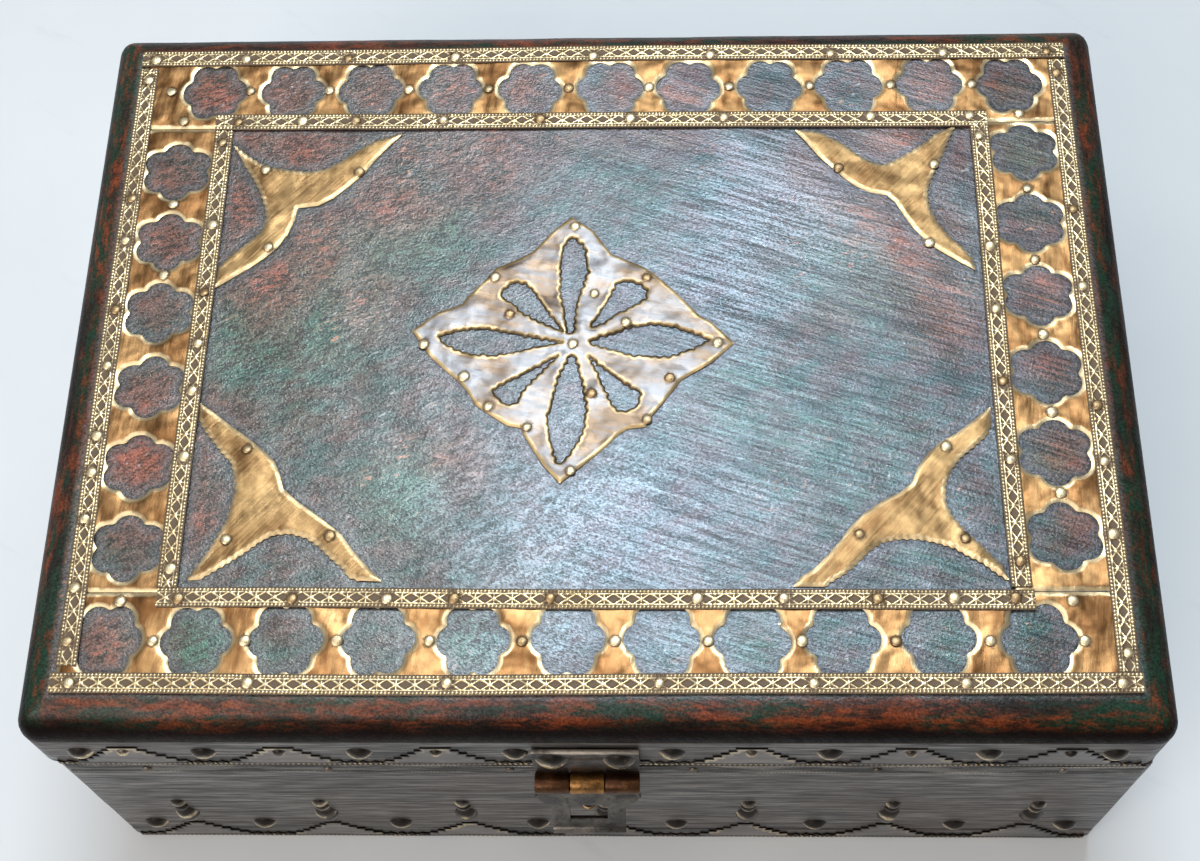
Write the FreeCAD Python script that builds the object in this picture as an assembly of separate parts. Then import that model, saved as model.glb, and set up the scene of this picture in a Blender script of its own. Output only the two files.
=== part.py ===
import FreeCAD, Part
import math
import os

Vector = FreeCAD.Vector

# Driving dimensions of the box, in millimetres
lid_width = 280.0
lid_depth = 208.0
base_height = 77.0
lid_overhang_left = 4.0
lid_overhang_right = 1.0
wall_thickness = 9.0
bottom_thickness = 8.0
board_corner_radius = 2.0

# Lid: a painted top board with a rounded edge, on four rails
lid_top_thickness = 10.0
lid_rail_height = 18.0
lid_edge_radius = 9.0
lid_corner_radius = 5.0

# Wire nails that hold the boards together, driven below the surface
board_nail_radius = 0.9
board_nail_length = 26.0
board_nail_sink = 1.0
corner_nail_height_shares = (0.2, 0.5, 0.8)
rail_nail_height_shares = (0.15, 0.4)
board_edge_nail_shares = (0.06, 0.35, 0.65, 0.94)

# Dome nails that fix all the brass sheet
nail_head_radius = 1.65
nail_head_height = 1.1
nail_shank_radius = 0.6
nail_shank_length = 7.0
nail_hole_clearance = 0.1

# Stamped brass ribbons on the lid top, laid in two frames
ribbon_width = 5.2
ribbon_thickness = 0.6
ribbon_bead = 0.5
ribbon_margin_x = 9.6
ribbon_margin_y = 9.0
ribbon_end_gap = 0.4
outer_front_nail_shares = (0.017, 0.183, 0.367, 0.562, 0.703, 0.841, 0.982)
outer_back_nail_shares = (0.015, 0.114, 0.226, 0.343, 0.493, 0.62, 0.75, 0.871, 0.982)
outer_left_nail_shares = (0.023, 0.244, 0.32, 0.44, 0.534, 0.648, 0.705, 0.778, 0.88, 0.958)
outer_right_nail_shares = (0.025, 0.276, 0.41, 0.605, 0.693, 0.803, 0.974)
inner_front_nail_shares = (0.025, 0.156, 0.265, 0.342, 0.452, 0.619, 0.717, 0.823, 0.909, 0.978)
inner_back_nail_shares = (0.03, 0.114, 0.184, 0.298, 0.424, 0.541, 0.662, 0.851, 0.978)
inner_left_nail_shares = (0.028, 0.227, 0.382, 0.497, 0.6, 0.738, 0.964)
inner_right_nail_shares = (0.028, 0.29, 0.43, 0.586, 0.75, 0.951)

# Pierced brass strips between the two ribbon frames
fret_thickness = 0.5
fret_opening_x = 18.0
fret_opening_y = 16.3
fret_lap_margin = 0.8
fret_seam_gap = 0.2
rosette_pitch = 22.5
rosette_lobe_offset = 5.3
rosette_lobe_radius = 3.4
front_row_shift = -5.7
back_row_shift = 2.7
left_row_shift = -1.0
right_row_shift = 2.0

# Three-armed brass plates in the corners of the inner field
corner_plate_thickness = 0.5
corner_plate_arm = 49.0
corner_plate_inset = 1.0
corner_tip_shares = (0.03, 0.045)
corner_long_shoulder_shares = (0.2, 0.19)
corner_long_dip_shares = (0.46, 0.28)
corner_long_end_shares = (0.91, 0.0)
corner_long_tip_shares = (1.0, 0.0)
corner_long_back_shares = (0.74, 0.335)
corner_cusp_shares = (0.433, 0.49)
corner_short_back_shares = (0.325, 0.765)
corner_short_tip_shares = (0.02, 0.99)
corner_short_end_shares = (0.0, 0.86)
corner_short_dip_shares = (0.26, 0.575)
corner_short_shoulder_shares = (0.16, 0.32)
corner_nail_shares = ((0.19, 0.25), (0.72, 0.27), (0.25, 0.76))

# Pierced brass medallion in the middle of the lid
medallion_thickness = 0.5
medallion_half_width = 42.0
medallion_half_height = 39.6
medallion_shift_x = -6.0
medallion_side_dip = 2.7
medallion_leaf_width = 8.8
medallion_leaf_start = 3.6
medallion_leaf_end = 34.5
medallion_club_width = 6.8
medallion_club_start = 5.0
medallion_club_end = 25.0
medallion_nail_shares = (
    (0.0, 0.0), (0.0, 0.905), (0.9, 0.0), (0.0, -0.92), (-0.93, 0.0),
    (-0.5, 0.51), (0.46, 0.5), (-0.51, -0.46), (0.46, -0.56),
    (-0.4, 0.22), (0.13, 0.38), (0.33, 0.16), (-0.67, -0.24), (0.6, -0.265),
    (0.12, -0.37), (-0.27, -0.61),
)

# Scalloped dark sheet bands round the lid and round the foot of the base
band_thickness = 0.6
band_tip_half_width = 1.2
scallop_length = 40.0
lid_band_rim = 3.0
lid_band_height = 14.5
lid_band_nail_drop = 2.2
skirt_lift = 0.6
skirt_rim = 4.0
skirt_height = 18.0

# Dome bosses in the scallops, and bud finials over the points of the skirt
boss_radius = 3.3
boss_height = 1.7
boss_shank_radius = 0.9
boss_corner_inset = 8.0
lid_boss_rise = 10.0
skirt_boss_rise = 15.0
bud_length = 22.0
bud_radius = 3.3
bud_sink = 1.1
bud_shank_radius = 0.8
bud_foot_share = 0.12
bud_drop_mid_share = 0.32
bud_waist_share = 0.62
bud_waist_radius_share = 0.5
bud_collar_share = 0.69
bud_collar_radius_share = 0.74
bud_neck_share = 0.76
bud_head_share = 0.88
bud_head_radius_share = 0.72

# Stamped ribbon along the top edge of the base
edge_ribbon_width = 7.5
edge_ribbon_drop = 0.5
edge_nail_inset = 20.0
edge_nail_spacing = 48.0

# Clasp: leaf on the lid, hinged hasp and staple on the base
clasp_shift_x = -2.0
clasp_leaf_width = 26.4
clasp_leaf_height = 20.0
clasp_sheet = 1.2
clasp_barrel_radius = 2.75
clasp_pin_radius = 1.1
clasp_axis_drop = 5.0
clasp_clearance = 0.2
pin_clearance = 0.05
knuckle_gap = 0.3
screw_head_radius = 4.0
screw_head_height = 2.0
screw_slot_width = 0.9
screw_slot_depth = 0.8
screw_shank_radius = 1.6
screw_length = 8.0
screw_spacing = 16.6
screw_rise = 14.5
hasp_ear_width = 27.0
hasp_end_width = 19.0
hasp_ear_reach = 6.0
hasp_taper_reach = 10.5
hasp_length = 18.4
hasp_slot_width = 9.6
hasp_slot_start = 9.6
hasp_slot_end = 16.0
hasp_lip_radius = 1.8
hasp_rest_angle = 18.0
hasp_lip_angle = 75.0

# Staple: a wire loop through a small plate
staple_plate_width = 15.0
staple_plate_height = 16.0
staple_plate_thickness = 1.0
staple_wire_radius = 0.65
staple_loop_width = 4.8
staple_reach = 7.4
staple_drop = 12.4
staple_nail_share = 0.36

# Two butt hinges on the back
hinge_end_margin = 60.0
hinge_width = 32.0
hinge_leaf_height = 16.0
hinge_sheet = 1.2
hinge_barrel_radius = 2.5
hinge_pin_radius = 1.1
hinge_nail_across_share = 0.34
hinge_nail_rise_shares = (0.45, 0.8)

# Sizes that follow from the driving dimensions
base_width = lid_width - lid_overhang_left - lid_overhang_right
base_depth = lid_depth
hinge_spacing = lid_width - 2 * hinge_end_margin
lid_centre_x = (lid_overhang_right - lid_overhang_left) / 2
lid_height = lid_top_thickness + lid_rail_height
total_height = base_height + lid_height
lid_board_z = base_height + lid_rail_height
inner_depth = base_depth - 2 * wall_thickness
edge_ribbon_thickness = band_thickness - clasp_clearance
nail_hole_radius = nail_shank_radius + nail_hole_clearance
ribbon_base_z = total_height + fret_thickness
outer_half_x = lid_width / 2 - ribbon_margin_x
outer_half_y = lid_depth / 2 - ribbon_margin_y
inner_half_x = outer_half_x - ribbon_width - fret_opening_x
inner_half_y = outer_half_y - ribbon_width - fret_opening_y
field_half_x = inner_half_x - ribbon_width
field_half_y = inner_half_y - ribbon_width

# Each side face: its turn from the front face, and the side of the box it is on in x and y
faces = {
    "front": (0, 0, -1),
    "right": (90, 1, 0),
    "back": (180, 0, 1),
    "left": (270, -1, 0),
}


def save(node, shape):
    """Write one node's solids."""
    shape.exportStep("parts/" + node + ".step")


def block(low, high):
    """A box between two corners."""
    size = high - low
    return Part.makeBox(size.x, size.y, size.z, low)


def rod(radius, start, reach):
    """A round bar from start, along the vector reach."""
    return Part.makeCylinder(radius, reach.Length, start, reach)


def prism(edges, reach):
    """A flat outline pushed along the vector reach."""
    return Part.Face(Part.Wire(edges)).extrude(reach)


def arc(first, middle, last):
    """An arc through three points."""
    return Part.Arc(first, middle, last).toShape()


def line(first, last):
    """A straight edge."""
    return Part.LineSegment(first, last).toShape()


def on_face(shape, face, centre_x, width, depth):
    """Turn a shape made on the plane y = 0, facing -y, onto a side face of base or lid."""
    turn, side_x, side_y = faces[face]
    placed = shape.copy()
    placed.rotate(Vector(0, 0, 0), Vector(0, 0, 1), turn)
    placed.translate(Vector(centre_x + side_x * width / 2, side_y * depth / 2, 0))
    return placed


def on_base(shape, face):
    """Place a face shape on the base."""
    return on_face(shape, face, 0, base_width, base_depth)


def on_lid(shape, face):
    """Place a face shape on the lid."""
    return on_face(shape, face, lid_centre_x, lid_width, lid_depth)


def face_length(face, width, depth, corner):
    """Length of the flat stretch of a side face, between its rounded corners."""
    return (width if face in ("front", "back") else depth) - 2 * corner


def dome_nail(head_radius, head_height, shank_radius, shank_length):
    """A nail along z, with the flat underside of its domed head at z = 0."""
    cap_radius = (head_radius ** 2 + head_height ** 2) / (2 * head_height)
    mid_height = math.sqrt(cap_radius ** 2 - (head_radius / 2) ** 2) - cap_radius + head_height
    top = Vector(0, 0, head_height)
    rim = Vector(head_radius, 0, 0)
    neck = Vector(shank_radius, 0, 0)
    toe = Vector(shank_radius, 0, -shank_length)
    end = Vector(0, 0, -shank_length)
    edges = [
        arc(top, Vector(head_radius / 2, 0, mid_height), rim),
        line(rim, neck),
        line(neck, toe),
        line(toe, end),
        line(end, top),
    ]
    return Part.Face(Part.Wire(edges)).revolve(Vector(0, 0, 0), Vector(0, 0, 1), 360)


def small_nail():
    """The common dome nail."""
    return dome_nail(nail_head_radius, nail_head_height, nail_shank_radius, nail_shank_length)


def boss_nail():
    """The large dome boss."""
    return dome_nail(boss_radius, boss_height, boss_shank_radius, nail_shank_length)


def copies(shape, places):
    """One copy of a shape at each place."""
    result = []
    for place in places:
        one = shape.copy()
        one.translate(place)
        result.append(one)
    return result


def facing_out(nail, places):
    """Copies of a nail turned to stand out of the plane y = 0."""
    turned = nail.copy()
    turned.rotate(Vector(0, 0, 0), Vector(1, 0, 0), 90)
    return copies(turned, places)


def punch(sheet, places, reach):
    """Cut a nail hole through a sheet at each place, along the vector reach."""
    if not places:
        return sheet
    return sheet.cut(Part.makeCompound([rod(nail_hole_radius, place, reach) for place in places]))


# Base boards: a bottom board, with four walls that stand on it
def base_boards():
    half_x = base_width / 2
    half_y = base_depth / 2
    inner_y = inner_depth / 2
    save("bottom_board", block(Vector(-half_x, -half_y, 0), Vector(half_x, half_y, bottom_thickness)))
    for name, side in (("base_front_board", -1), ("base_back_board", 1)):
        low = Vector(-half_x, min(side * half_y, side * inner_y), bottom_thickness)
        high = Vector(half_x, max(side * half_y, side * inner_y), base_height)
        board = block(low, high)
        corners = [e for e in board.Edges if is_upright(e)]
        corners = [e for e in corners if e.CenterOfMass.y * side > (half_y + inner_y) / 2]
        save(name, board.makeFillet(board_corner_radius, corners))
    for name, side in (("base_left_board", -1), ("base_right_board", 1)):
        inner_x = half_x - wall_thickness
        low = Vector(min(side * half_x, side * inner_x), -inner_y, bottom_thickness)
        high = Vector(max(side * half_x, side * inner_x), inner_y, base_height)
        save(name, block(low, high))


def is_upright(edge):
    """True for an edge along z."""
    first = edge.Vertexes[0].Point
    last = edge.Vertexes[-1].Point
    return abs(first.x - last.x) + abs(first.y - last.y) < abs(first.z - last.z)


# Wire nails: through the long walls into the short ones, and up through the bottom board
def base_nails():
    wall_line = base_width / 2 - wall_thickness / 2
    wall_height = base_height - bottom_thickness
    start_y = base_depth / 2 - board_nail_sink
    nails = []
    for side_x in (-1, 1):
        for side_y in (-1, 1):
            for share in corner_nail_height_shares:
                start = Vector(side_x * wall_line, side_y * start_y, bottom_thickness + share * wall_height)
                nails.append(rod(board_nail_radius, start, Vector(0, -side_y * board_nail_length, 0)))
    for side_y in (-1, 1):
        for share in board_edge_nail_shares:
            x = (share - 1 / 2) * base_width
            start = Vector(x, side_y * (base_depth / 2 - wall_thickness / 2), board_nail_sink)
            nails.append(rod(board_nail_radius, start, Vector(0, 0, board_nail_length)))
    save("base_nails", Part.makeCompound(nails))


# Lid boards: four rails under a top board whose upper edge is rounded over
def lid_boards():
    low_x = lid_centre_x - lid_width / 2
    high_x = lid_centre_x + lid_width / 2
    half_y = lid_depth / 2
    inner_y = half_y - wall_thickness
    board = block(Vector(low_x, -half_y, lid_board_z), Vector(high_x, half_y, total_height))
    board = board.makeFillet(lid_corner_radius, [e for e in board.Edges if is_upright(e)])
    rim = [e for e in board.Edges if e.BoundBox.ZMin > (lid_board_z + total_height) / 2]
    save("lid_top_board", board.makeFillet(lid_edge_radius, rim))
    for name, side in (("lid_front_rail", -1), ("lid_back_rail", 1)):
        low = Vector(low_x, min(side * half_y, side * inner_y), base_height)
        high = Vector(high_x, max(side * half_y, side * inner_y), lid_board_z)
        rail = block(low, high)
        corners = [e for e in rail.Edges if is_upright(e)]
        corners = [e for e in corners if e.CenterOfMass.y * side > (half_y + inner_y) / 2]
        save(name, rail.makeFillet(lid_corner_radius, corners))
    for name, first, last in (
        ("lid_left_rail", low_x, low_x + wall_thickness),
        ("lid_right_rail", high_x - wall_thickness, high_x),
    ):
        save(name, block(Vector(first, -inner_y, base_height), Vector(last, inner_y, lid_board_z)))


# Wire nails of the lid: through the long rails into the short ones, and down through the top board
def lid_nails():
    rail_line = lid_width / 2 - wall_thickness / 2
    start_y = lid_depth / 2 - board_nail_sink
    top_start = total_height - lid_edge_radius / 2
    nails = []
    for side_x in (-1, 1):
        for side_y in (-1, 1):
            for share in rail_nail_height_shares:
                x = lid_centre_x + side_x * (rail_line - wall_thickness / 4)
                start = Vector(x, side_y * start_y, base_height + share * lid_rail_height)
                nails.append(rod(board_nail_radius, start, Vector(0, -side_y * board_nail_length, 0)))
    for side_y in (-1, 1):
        for share in board_edge_nail_shares:
            x = lid_centre_x + (share - 1 / 2) * lid_width
            start = Vector(x, side_y * (lid_depth / 2 - wall_thickness / 2), top_start)
            reach = Vector(0, 0, lid_board_z - top_start - lid_rail_height / 2)
            nails.append(rod(board_nail_radius, start, reach))
    save("lid_nails", Part.makeCompound(nails))


def ribbon(length, width, thickness):
    """A stamped ribbon along x, centred on the origin: a flat strip with a raised bead on each edge."""
    half = width / 2
    flat = thickness - ribbon_bead / 2
    start = -length / 2
    edge = half - ribbon_bead
    crest = half - ribbon_bead / 2

    def spot(y, z):
        return Vector(start, y, z)

    outline = [
        line(spot(-half, 0), spot(half, 0)),
        line(spot(half, 0), spot(half, flat)),
        arc(spot(half, flat), spot(crest, thickness), spot(edge, flat)),
        line(spot(edge, flat), spot(-edge, flat)),
        arc(spot(-edge, flat), spot(-crest, thickness), spot(-half, flat)),
        line(spot(-half, flat), spot(-half, 0)),
    ]
    return prism(outline, Vector(length, 0, 0))


def along(length, shares):
    """Distances along a strip centred on the origin, from its first end."""
    return [(share - 1 / 2) * length for share in shares]


# Ribbon frames: front and back ribbons run full length, the side ones fit between them
def ribbon_frame(frame, half_x, half_y, nail_shares):
    long_length = 2 * half_x
    short_length = 2 * (half_y - ribbon_width - ribbon_end_gap)
    line_x = half_x - ribbon_width / 2
    line_y = half_y - ribbon_width / 2
    depth = Vector(0, 0, -ribbon_thickness)
    head_z = ribbon_base_z + ribbon_thickness - ribbon_bead / 2
    places = []
    for side, y in (("front", -line_y), ("back", line_y)):
        spots = [Vector(lid_centre_x + s, y, head_z) for s in along(long_length, nail_shares[side])]
        strip = ribbon(long_length, ribbon_width, ribbon_thickness)
        strip.translate(Vector(lid_centre_x, y, ribbon_base_z))
        save(frame + "_" + side + "_ribbon", punch(strip, spots, depth))
        places += spots
    for side, x in (("left", -line_x), ("right", line_x)):
        spots = [Vector(lid_centre_x + x, -s, head_z) for s in along(short_length, nail_shares[side])]
        strip = ribbon(short_length, ribbon_width, ribbon_thickness)
        strip.rotate(Vector(0, 0, 0), Vector(0, 0, 1), 90)
        strip.translate(Vector(lid_centre_x + x, 0, ribbon_base_z))
        save(frame + "_" + side + "_ribbon", punch(strip, spots, depth))
        places += spots
    return places


def rosette(centre, turn):
    """Six-lobed hole: one lobe points along the row, at the angle turn."""
    step = math.pi / 3
    cusp = rosette_lobe_offset * math.cos(step / 2)
    cusp += math.sqrt(rosette_lobe_radius ** 2 - (rosette_lobe_offset * math.sin(step / 2)) ** 2)
    tip = rosette_lobe_offset + rosette_lobe_radius

    def spot(radius, angle):
        return centre + Vector(radius * math.cos(angle), radius * math.sin(angle), 0)

    edges = []
    for lobe in range(6):
        angle = turn + lobe * step
        edges.append(arc(spot(cusp, angle - step / 2), spot(tip, angle), spot(cusp, angle + step / 2)))
    return prism(edges, Vector(0, 0, fret_thickness))


def row(length, shift):
    """Rosette centres along a strip: as many as the length takes."""
    count = int(length // rosette_pitch)
    return [shift + (i - (count - 1) / 2) * rosette_pitch for i in range(count)]


# Pierced strips: front and back ones take in the corners, the side ones fit between them
def frets(ribbon_spots):
    half_x = outer_half_x - fret_lap_margin
    far_y = outer_half_y - fret_lap_margin
    near_y = field_half_y + fret_lap_margin
    near_x = field_half_x + fret_lap_margin
    row_y = (outer_half_y + inner_half_y - ribbon_width) / 2
    row_x = (outer_half_x + inner_half_x - ribbon_width) / 2
    seam_y = near_y - fret_seam_gap
    top = total_height
    depth = Vector(0, 0, -fret_thickness)
    clear = nail_head_radius + nail_hole_radius
    nails = []
    for name, side, shift, neck in (
        ("front_fret", -1, front_row_shift, 1),
        ("back_fret", 1, back_row_shift, -1),
    ):
        centres = row(2 * (outer_half_x - ribbon_width), shift)
        low = Vector(lid_centre_x - half_x, min(side * far_y, side * near_y), top)
        high = Vector(lid_centre_x + half_x, max(side * far_y, side * near_y), top + fret_thickness)
        holes = [rosette(Vector(lid_centre_x + x, side * row_y, top), 0) for x in centres]
        spots = [Vector(lid_centre_x + x + neck * rosette_pitch / 2, side * row_y, top + fret_thickness)
                 for x in centres]
        for side_x in (-1, 1):
            x = lid_centre_x + side_x * row_x
            spots.append(Vector(x, side * (near_y + clear), top + fret_thickness))
        strip = block(low, high).cut(Part.makeCompound(holes))
        under = [Vector(v.x, v.y, top + fret_thickness) for v in ribbon_spots if near_y < side * v.y]
        save(name, punch(strip, spots + under, depth))
        nails += spots
    for name, side, shift, necks in (
        ("left_fret", -1, left_row_shift, (-1, -2)),
        ("right_fret", 1, right_row_shift, (-1, -2, -3, -4, -5)),
    ):
        centres = row(2 * field_half_y, shift)
        edge_low = lid_centre_x + min(side * half_x, side * near_x)
        edge_high = lid_centre_x + max(side * half_x, side * near_x)
        strip = block(Vector(edge_low, -seam_y, top), Vector(edge_high, seam_y, top + fret_thickness))
        x = lid_centre_x + side * row_x
        holes = [rosette(Vector(x, y, top), math.pi / 2) for y in centres]
        spots = [Vector(x, centres[i] - rosette_pitch / 2, top + fret_thickness)
                 for i in necks if len(centres) + i > 0]
        strip = strip.cut(Part.makeCompound(holes))
        under = [v for v in ribbon_spots if abs(v.y) < seam_y and side * (v.x - lid_centre_x) > near_x]
        under = [Vector(v.x, v.y, top + fret_thickness) for v in under]
        save(name, punch(strip, spots + under, depth))
        nails += spots
    return nails


# Corner plates: a short arm to the corner and two long ones along the ribbons
def corner_plates():
    depth = Vector(0, 0, -corner_plate_thickness)
    nails = []
    for name, side_x, side_y in (
        ("front_left_corner_plate", -1, -1),
        ("front_right_corner_plate", 1, -1),
        ("back_left_corner_plate", -1, 1),
        ("back_right_corner_plate", 1, 1),
    ):
        corner = Vector(lid_centre_x + side_x * (field_half_x - corner_plate_inset),
                        side_y * (field_half_y - corner_plate_inset), total_height)

        def spot(shares, corner=corner, side_x=side_x, side_y=side_y):
            reach_x = -side_x * shares[0] * corner_plate_arm
            reach_y = -side_y * shares[1] * corner_plate_arm
            return corner + Vector(reach_x, reach_y, 0)

        edges = [
            line(spot(corner_tip_shares), spot(corner_long_shoulder_shares)),
            arc(spot(corner_long_shoulder_shares), spot(corner_long_dip_shares),
                spot(corner_long_end_shares)),
            line(spot(corner_long_end_shares), spot(corner_long_tip_shares)),
            arc(spot(corner_long_tip_shares), spot(corner_long_back_shares), spot(corner_cusp_shares)),
            arc(spot(corner_cusp_shares), spot(corner_short_back_shares), spot(corner_short_tip_shares)),
            line(spot(corner_short_tip_shares), spot(corner_short_end_shares)),
            arc(spot(corner_short_end_shares), spot(corner_short_dip_shares),
                spot(corner_short_shoulder_shares)),
            line(spot(corner_short_shoulder_shares), spot(corner_tip_shares)),
        ]
        plate = prism(edges, Vector(0, 0, corner_plate_thickness))
        spots = [spot(shares) + Vector(0, 0, corner_plate_thickness) for shares in corner_nail_shares]
        save(name, punch(plate, spots, depth))
        nails += spots
    return nails


# Medallion: a four-pointed plate with scalloped sides, pierced by leaves and clubs
def medallion():
    centre = Vector(lid_centre_x + medallion_shift_x, 0, total_height)
    thickness = Vector(0, 0, medallion_thickness)

    def spot(x, y):
        return centre + Vector(x, y, 0)

    tips = [
        Vector(medallion_half_width, 0, 0),
        Vector(0, medallion_half_height, 0),
        Vector(-medallion_half_width, 0, 0),
        Vector(0, -medallion_half_height, 0),
    ]
    corners = []
    for i in range(4):
        corners += [tips[i], (tips[i] + tips[(i + 1) % 4]) / 2]
    edges = []
    for i in range(8):
        first = corners[i]
        last = corners[(i + 1) % 8]
        middle = (first + last) / 2
        dip = middle * (medallion_side_dip / middle.Length)
        edges.append(arc(centre + first, centre + middle - dip, centre + last))
    plate = prism(edges, thickness)
    leaf_middle = (medallion_leaf_start + medallion_leaf_end) / 2
    leaf_half = medallion_leaf_width / 2
    club_half = medallion_club_width / 2
    shoulder = medallion_club_end - club_half
    leaf_hole = prism([
        arc(spot(medallion_leaf_start, 0), spot(leaf_middle, leaf_half), spot(medallion_leaf_end, 0)),
        arc(spot(medallion_leaf_end, 0), spot(leaf_middle, -leaf_half), spot(medallion_leaf_start, 0)),
    ], thickness)
    club_hole = prism([
        line(spot(medallion_club_start, 0), spot(shoulder, club_half)),
        arc(spot(shoulder, club_half), spot(medallion_club_end, 0), spot(shoulder, -club_half)),
        line(spot(shoulder, -club_half), spot(medallion_club_start, 0)),
    ], thickness)
    cuts = []
    for quarter in range(4):
        for hole, turn in ((leaf_hole, quarter * 90), (club_hole, quarter * 90 + 45)):
            cut = hole.copy()
            cut.rotate(centre, Vector(0, 0, 1), turn)
            cuts.append(cut)
    spots = []
    for share_x, share_y in medallion_nail_shares:
        spots.append(spot(share_x * medallion_half_width, share_y * medallion_half_height) + thickness)
    save("medallion", punch(plate.cut(Part.makeCompound(cuts)), spots, -thickness))
    return spots


def scallops(length):
    """Points of a scalloped edge: the places of its points, evenly spread, and their spacing."""
    count = max(1, round(length / scallop_length))
    pitch = length / count
    return [(i - (count - 1) / 2) * pitch for i in range(count)], pitch


def scalloped_sheet(length, rim, height, floor_z):
    """A sheet on the plane y = 0, facing -y, whose upper edge runs in scallops between points."""
    points, pitch = scallops(length)
    half_chord = pitch / 2 - band_tip_half_width
    sag = height - rim
    radius = (half_chord ** 2 + sag ** 2) / (2 * sag)

    def edge_point(offset):
        return floor_z + rim + radius - math.sqrt(radius ** 2 - offset ** 2)

    low_left = Vector(-length / 2, 0, floor_z)
    low_right = Vector(length / 2, 0, floor_z)
    end_right = Vector(length / 2, 0, floor_z + rim)
    end_left = Vector(-length / 2, 0, floor_z + rim)
    top = floor_z + height
    edges = [line(low_left, low_right), line(low_right, end_right)]
    here = end_right
    for place in reversed(points):
        arrive = Vector(place + band_tip_half_width, 0, top)
        leave = Vector(place - band_tip_half_width, 0, top)
        middle_x = (here.x + arrive.x) / 2
        middle = Vector(middle_x, 0, edge_point(place + pitch / 2 - middle_x))
        edges += [arc(here, middle, arrive), line(arrive, leave)]
        here = leave
    middle_x = (here.x + end_left.x) / 2
    edges.append(arc(here, Vector(middle_x, 0, edge_point(middle_x + length / 2)), end_left))
    edges.append(line(end_left, low_left))
    return prism(edges, Vector(0, -band_thickness, 0))


def boss_places(length, rise, standing):
    """Places of the bosses: one in the middle of each scallop, and one near each end."""
    points = scallops(length)[0]
    across = [(first + last) / 2 for first, last in zip(points, points[1:])]
    across += [boss_corner_inset - length / 2, length / 2 - boss_corner_inset]
    return [Vector(x, standing, rise) for x in across]


def hardware_zones(face):
    """Stretches of a face, in x of the box, that a hinge or the clasp covers."""
    if face == "front":
        return [(lid_centre_x + clasp_shift_x, clasp_leaf_width / 2)]
    if face == "back":
        return [(lid_centre_x + side * hinge_spacing / 2, hinge_width / 2) for side in (-1, 1)]
    return []


def clear_of_hardware(face, centre_x, places, reach):
    """The places on a face that lie clear of hinges and clasp."""
    side = -1 if face == "back" else 1
    kept = []
    for place in places:
        x = centre_x + side * place.x
        if all(abs(x - middle) > half + reach for middle, half in hardware_zones(face)):
            kept.append(place)
    return kept


def hinge_nail_spots(upward):
    """Places of a hinge leaf's nails, in x and z from the middle of the hinge."""
    across = hinge_nail_across_share * hinge_width
    side = 1 if upward else -1
    rises = [side * share * hinge_leaf_height for share in hinge_nail_rise_shares]
    return [(x, z) for z in rises for x in (-across, across)]


def hardware_holes(face, centre_x):
    """Holes through a sheet on a face, for the screws of the clasp or the nails of the hinges."""
    places = []
    radius = nail_hole_radius
    if face == "front":
        radius = screw_shank_radius + nail_hole_clearance
        rise = base_height - clasp_axis_drop + screw_rise
        places = [(lid_centre_x + clasp_shift_x + side * screw_spacing / 2, rise) for side in (-1, 1)]
    if face == "back":
        for middle, half in hardware_zones(face):
            spots = hinge_nail_spots(True) + hinge_nail_spots(False)
            places += [(middle + x, base_height + z) for x, z in spots]
    side = -1 if face == "back" else 1
    reach = Vector(0, band_thickness, 0)
    return [rod(radius, Vector(side * (x - centre_x), -band_thickness, z), reach) for x, z in places]


# Lid bands: one sheet on each side of the lid, with a nail in each point and a boss in each scallop
def lid_bands():
    inward = Vector(0, band_thickness, 0)
    nails = []
    for face in faces:
        length = face_length(face, lid_width, lid_depth, lid_corner_radius)
        points = scallops(length)[0]
        nail_z = base_height + lid_band_height - lid_band_nail_drop
        spots = [Vector(x, -band_thickness, nail_z) for x in points]
        spots = clear_of_hardware(face, lid_centre_x, spots, nail_head_radius)
        sheet = scalloped_sheet(length, lid_band_rim, lid_band_height, base_height)
        sheet = punch(sheet, spots, inward).cut(hardware_holes(face, lid_centre_x))
        save("lid_" + face + "_band", on_lid(sheet, face))
        bosses = boss_places(length, base_height + lid_boss_rise, 0)
        bosses = clear_of_hardware(face, lid_centre_x, bosses, boss_radius)
        for one in facing_out(small_nail(), spots) + facing_out(boss_nail(), bosses):
            nails.append(on_lid(one, face))
    save("lid_band_nails", Part.makeCompound(nails))


def bud():
    """Half-round bud finial on the plane y = 0, facing -y, foot at z = 0, with a shank into the wood."""
    foot = Vector(bud_foot_share * bud_radius, 0, 0)
    drop = Vector(bud_radius, 0, bud_drop_mid_share * bud_length)
    waist = Vector(bud_waist_radius_share * bud_radius, 0, bud_waist_share * bud_length)
    collar = Vector(bud_collar_radius_share * bud_radius, 0, bud_collar_share * bud_length)
    neck = Vector(bud_waist_radius_share * bud_radius, 0, bud_neck_share * bud_length)
    head = Vector(bud_head_radius_share * bud_radius, 0, bud_head_share * bud_length)
    top = Vector(0, 0, bud_length)
    edges = [
        line(Vector(0, 0, 0), foot),
        arc(foot, drop, waist),
        arc(waist, collar, neck),
        arc(neck, head, top),
        line(top, Vector(0, 0, 0)),
    ]
    turned = Part.Face(Part.Wire(edges)).revolve(Vector(0, 0, 0), Vector(0, 0, 1), 360)
    turned.translate(Vector(0, bud_sink, 0))
    wood = block(Vector(-bud_length, 0, 0), Vector(bud_length, bud_length, bud_length))
    shank_start = Vector(0, -bud_sink, bud_drop_mid_share * bud_length)
    shank = rod(bud_shank_radius, shank_start, Vector(0, nail_shank_length, 0))
    return turned.cut(wood).fuse(shank).removeSplitter()


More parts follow.
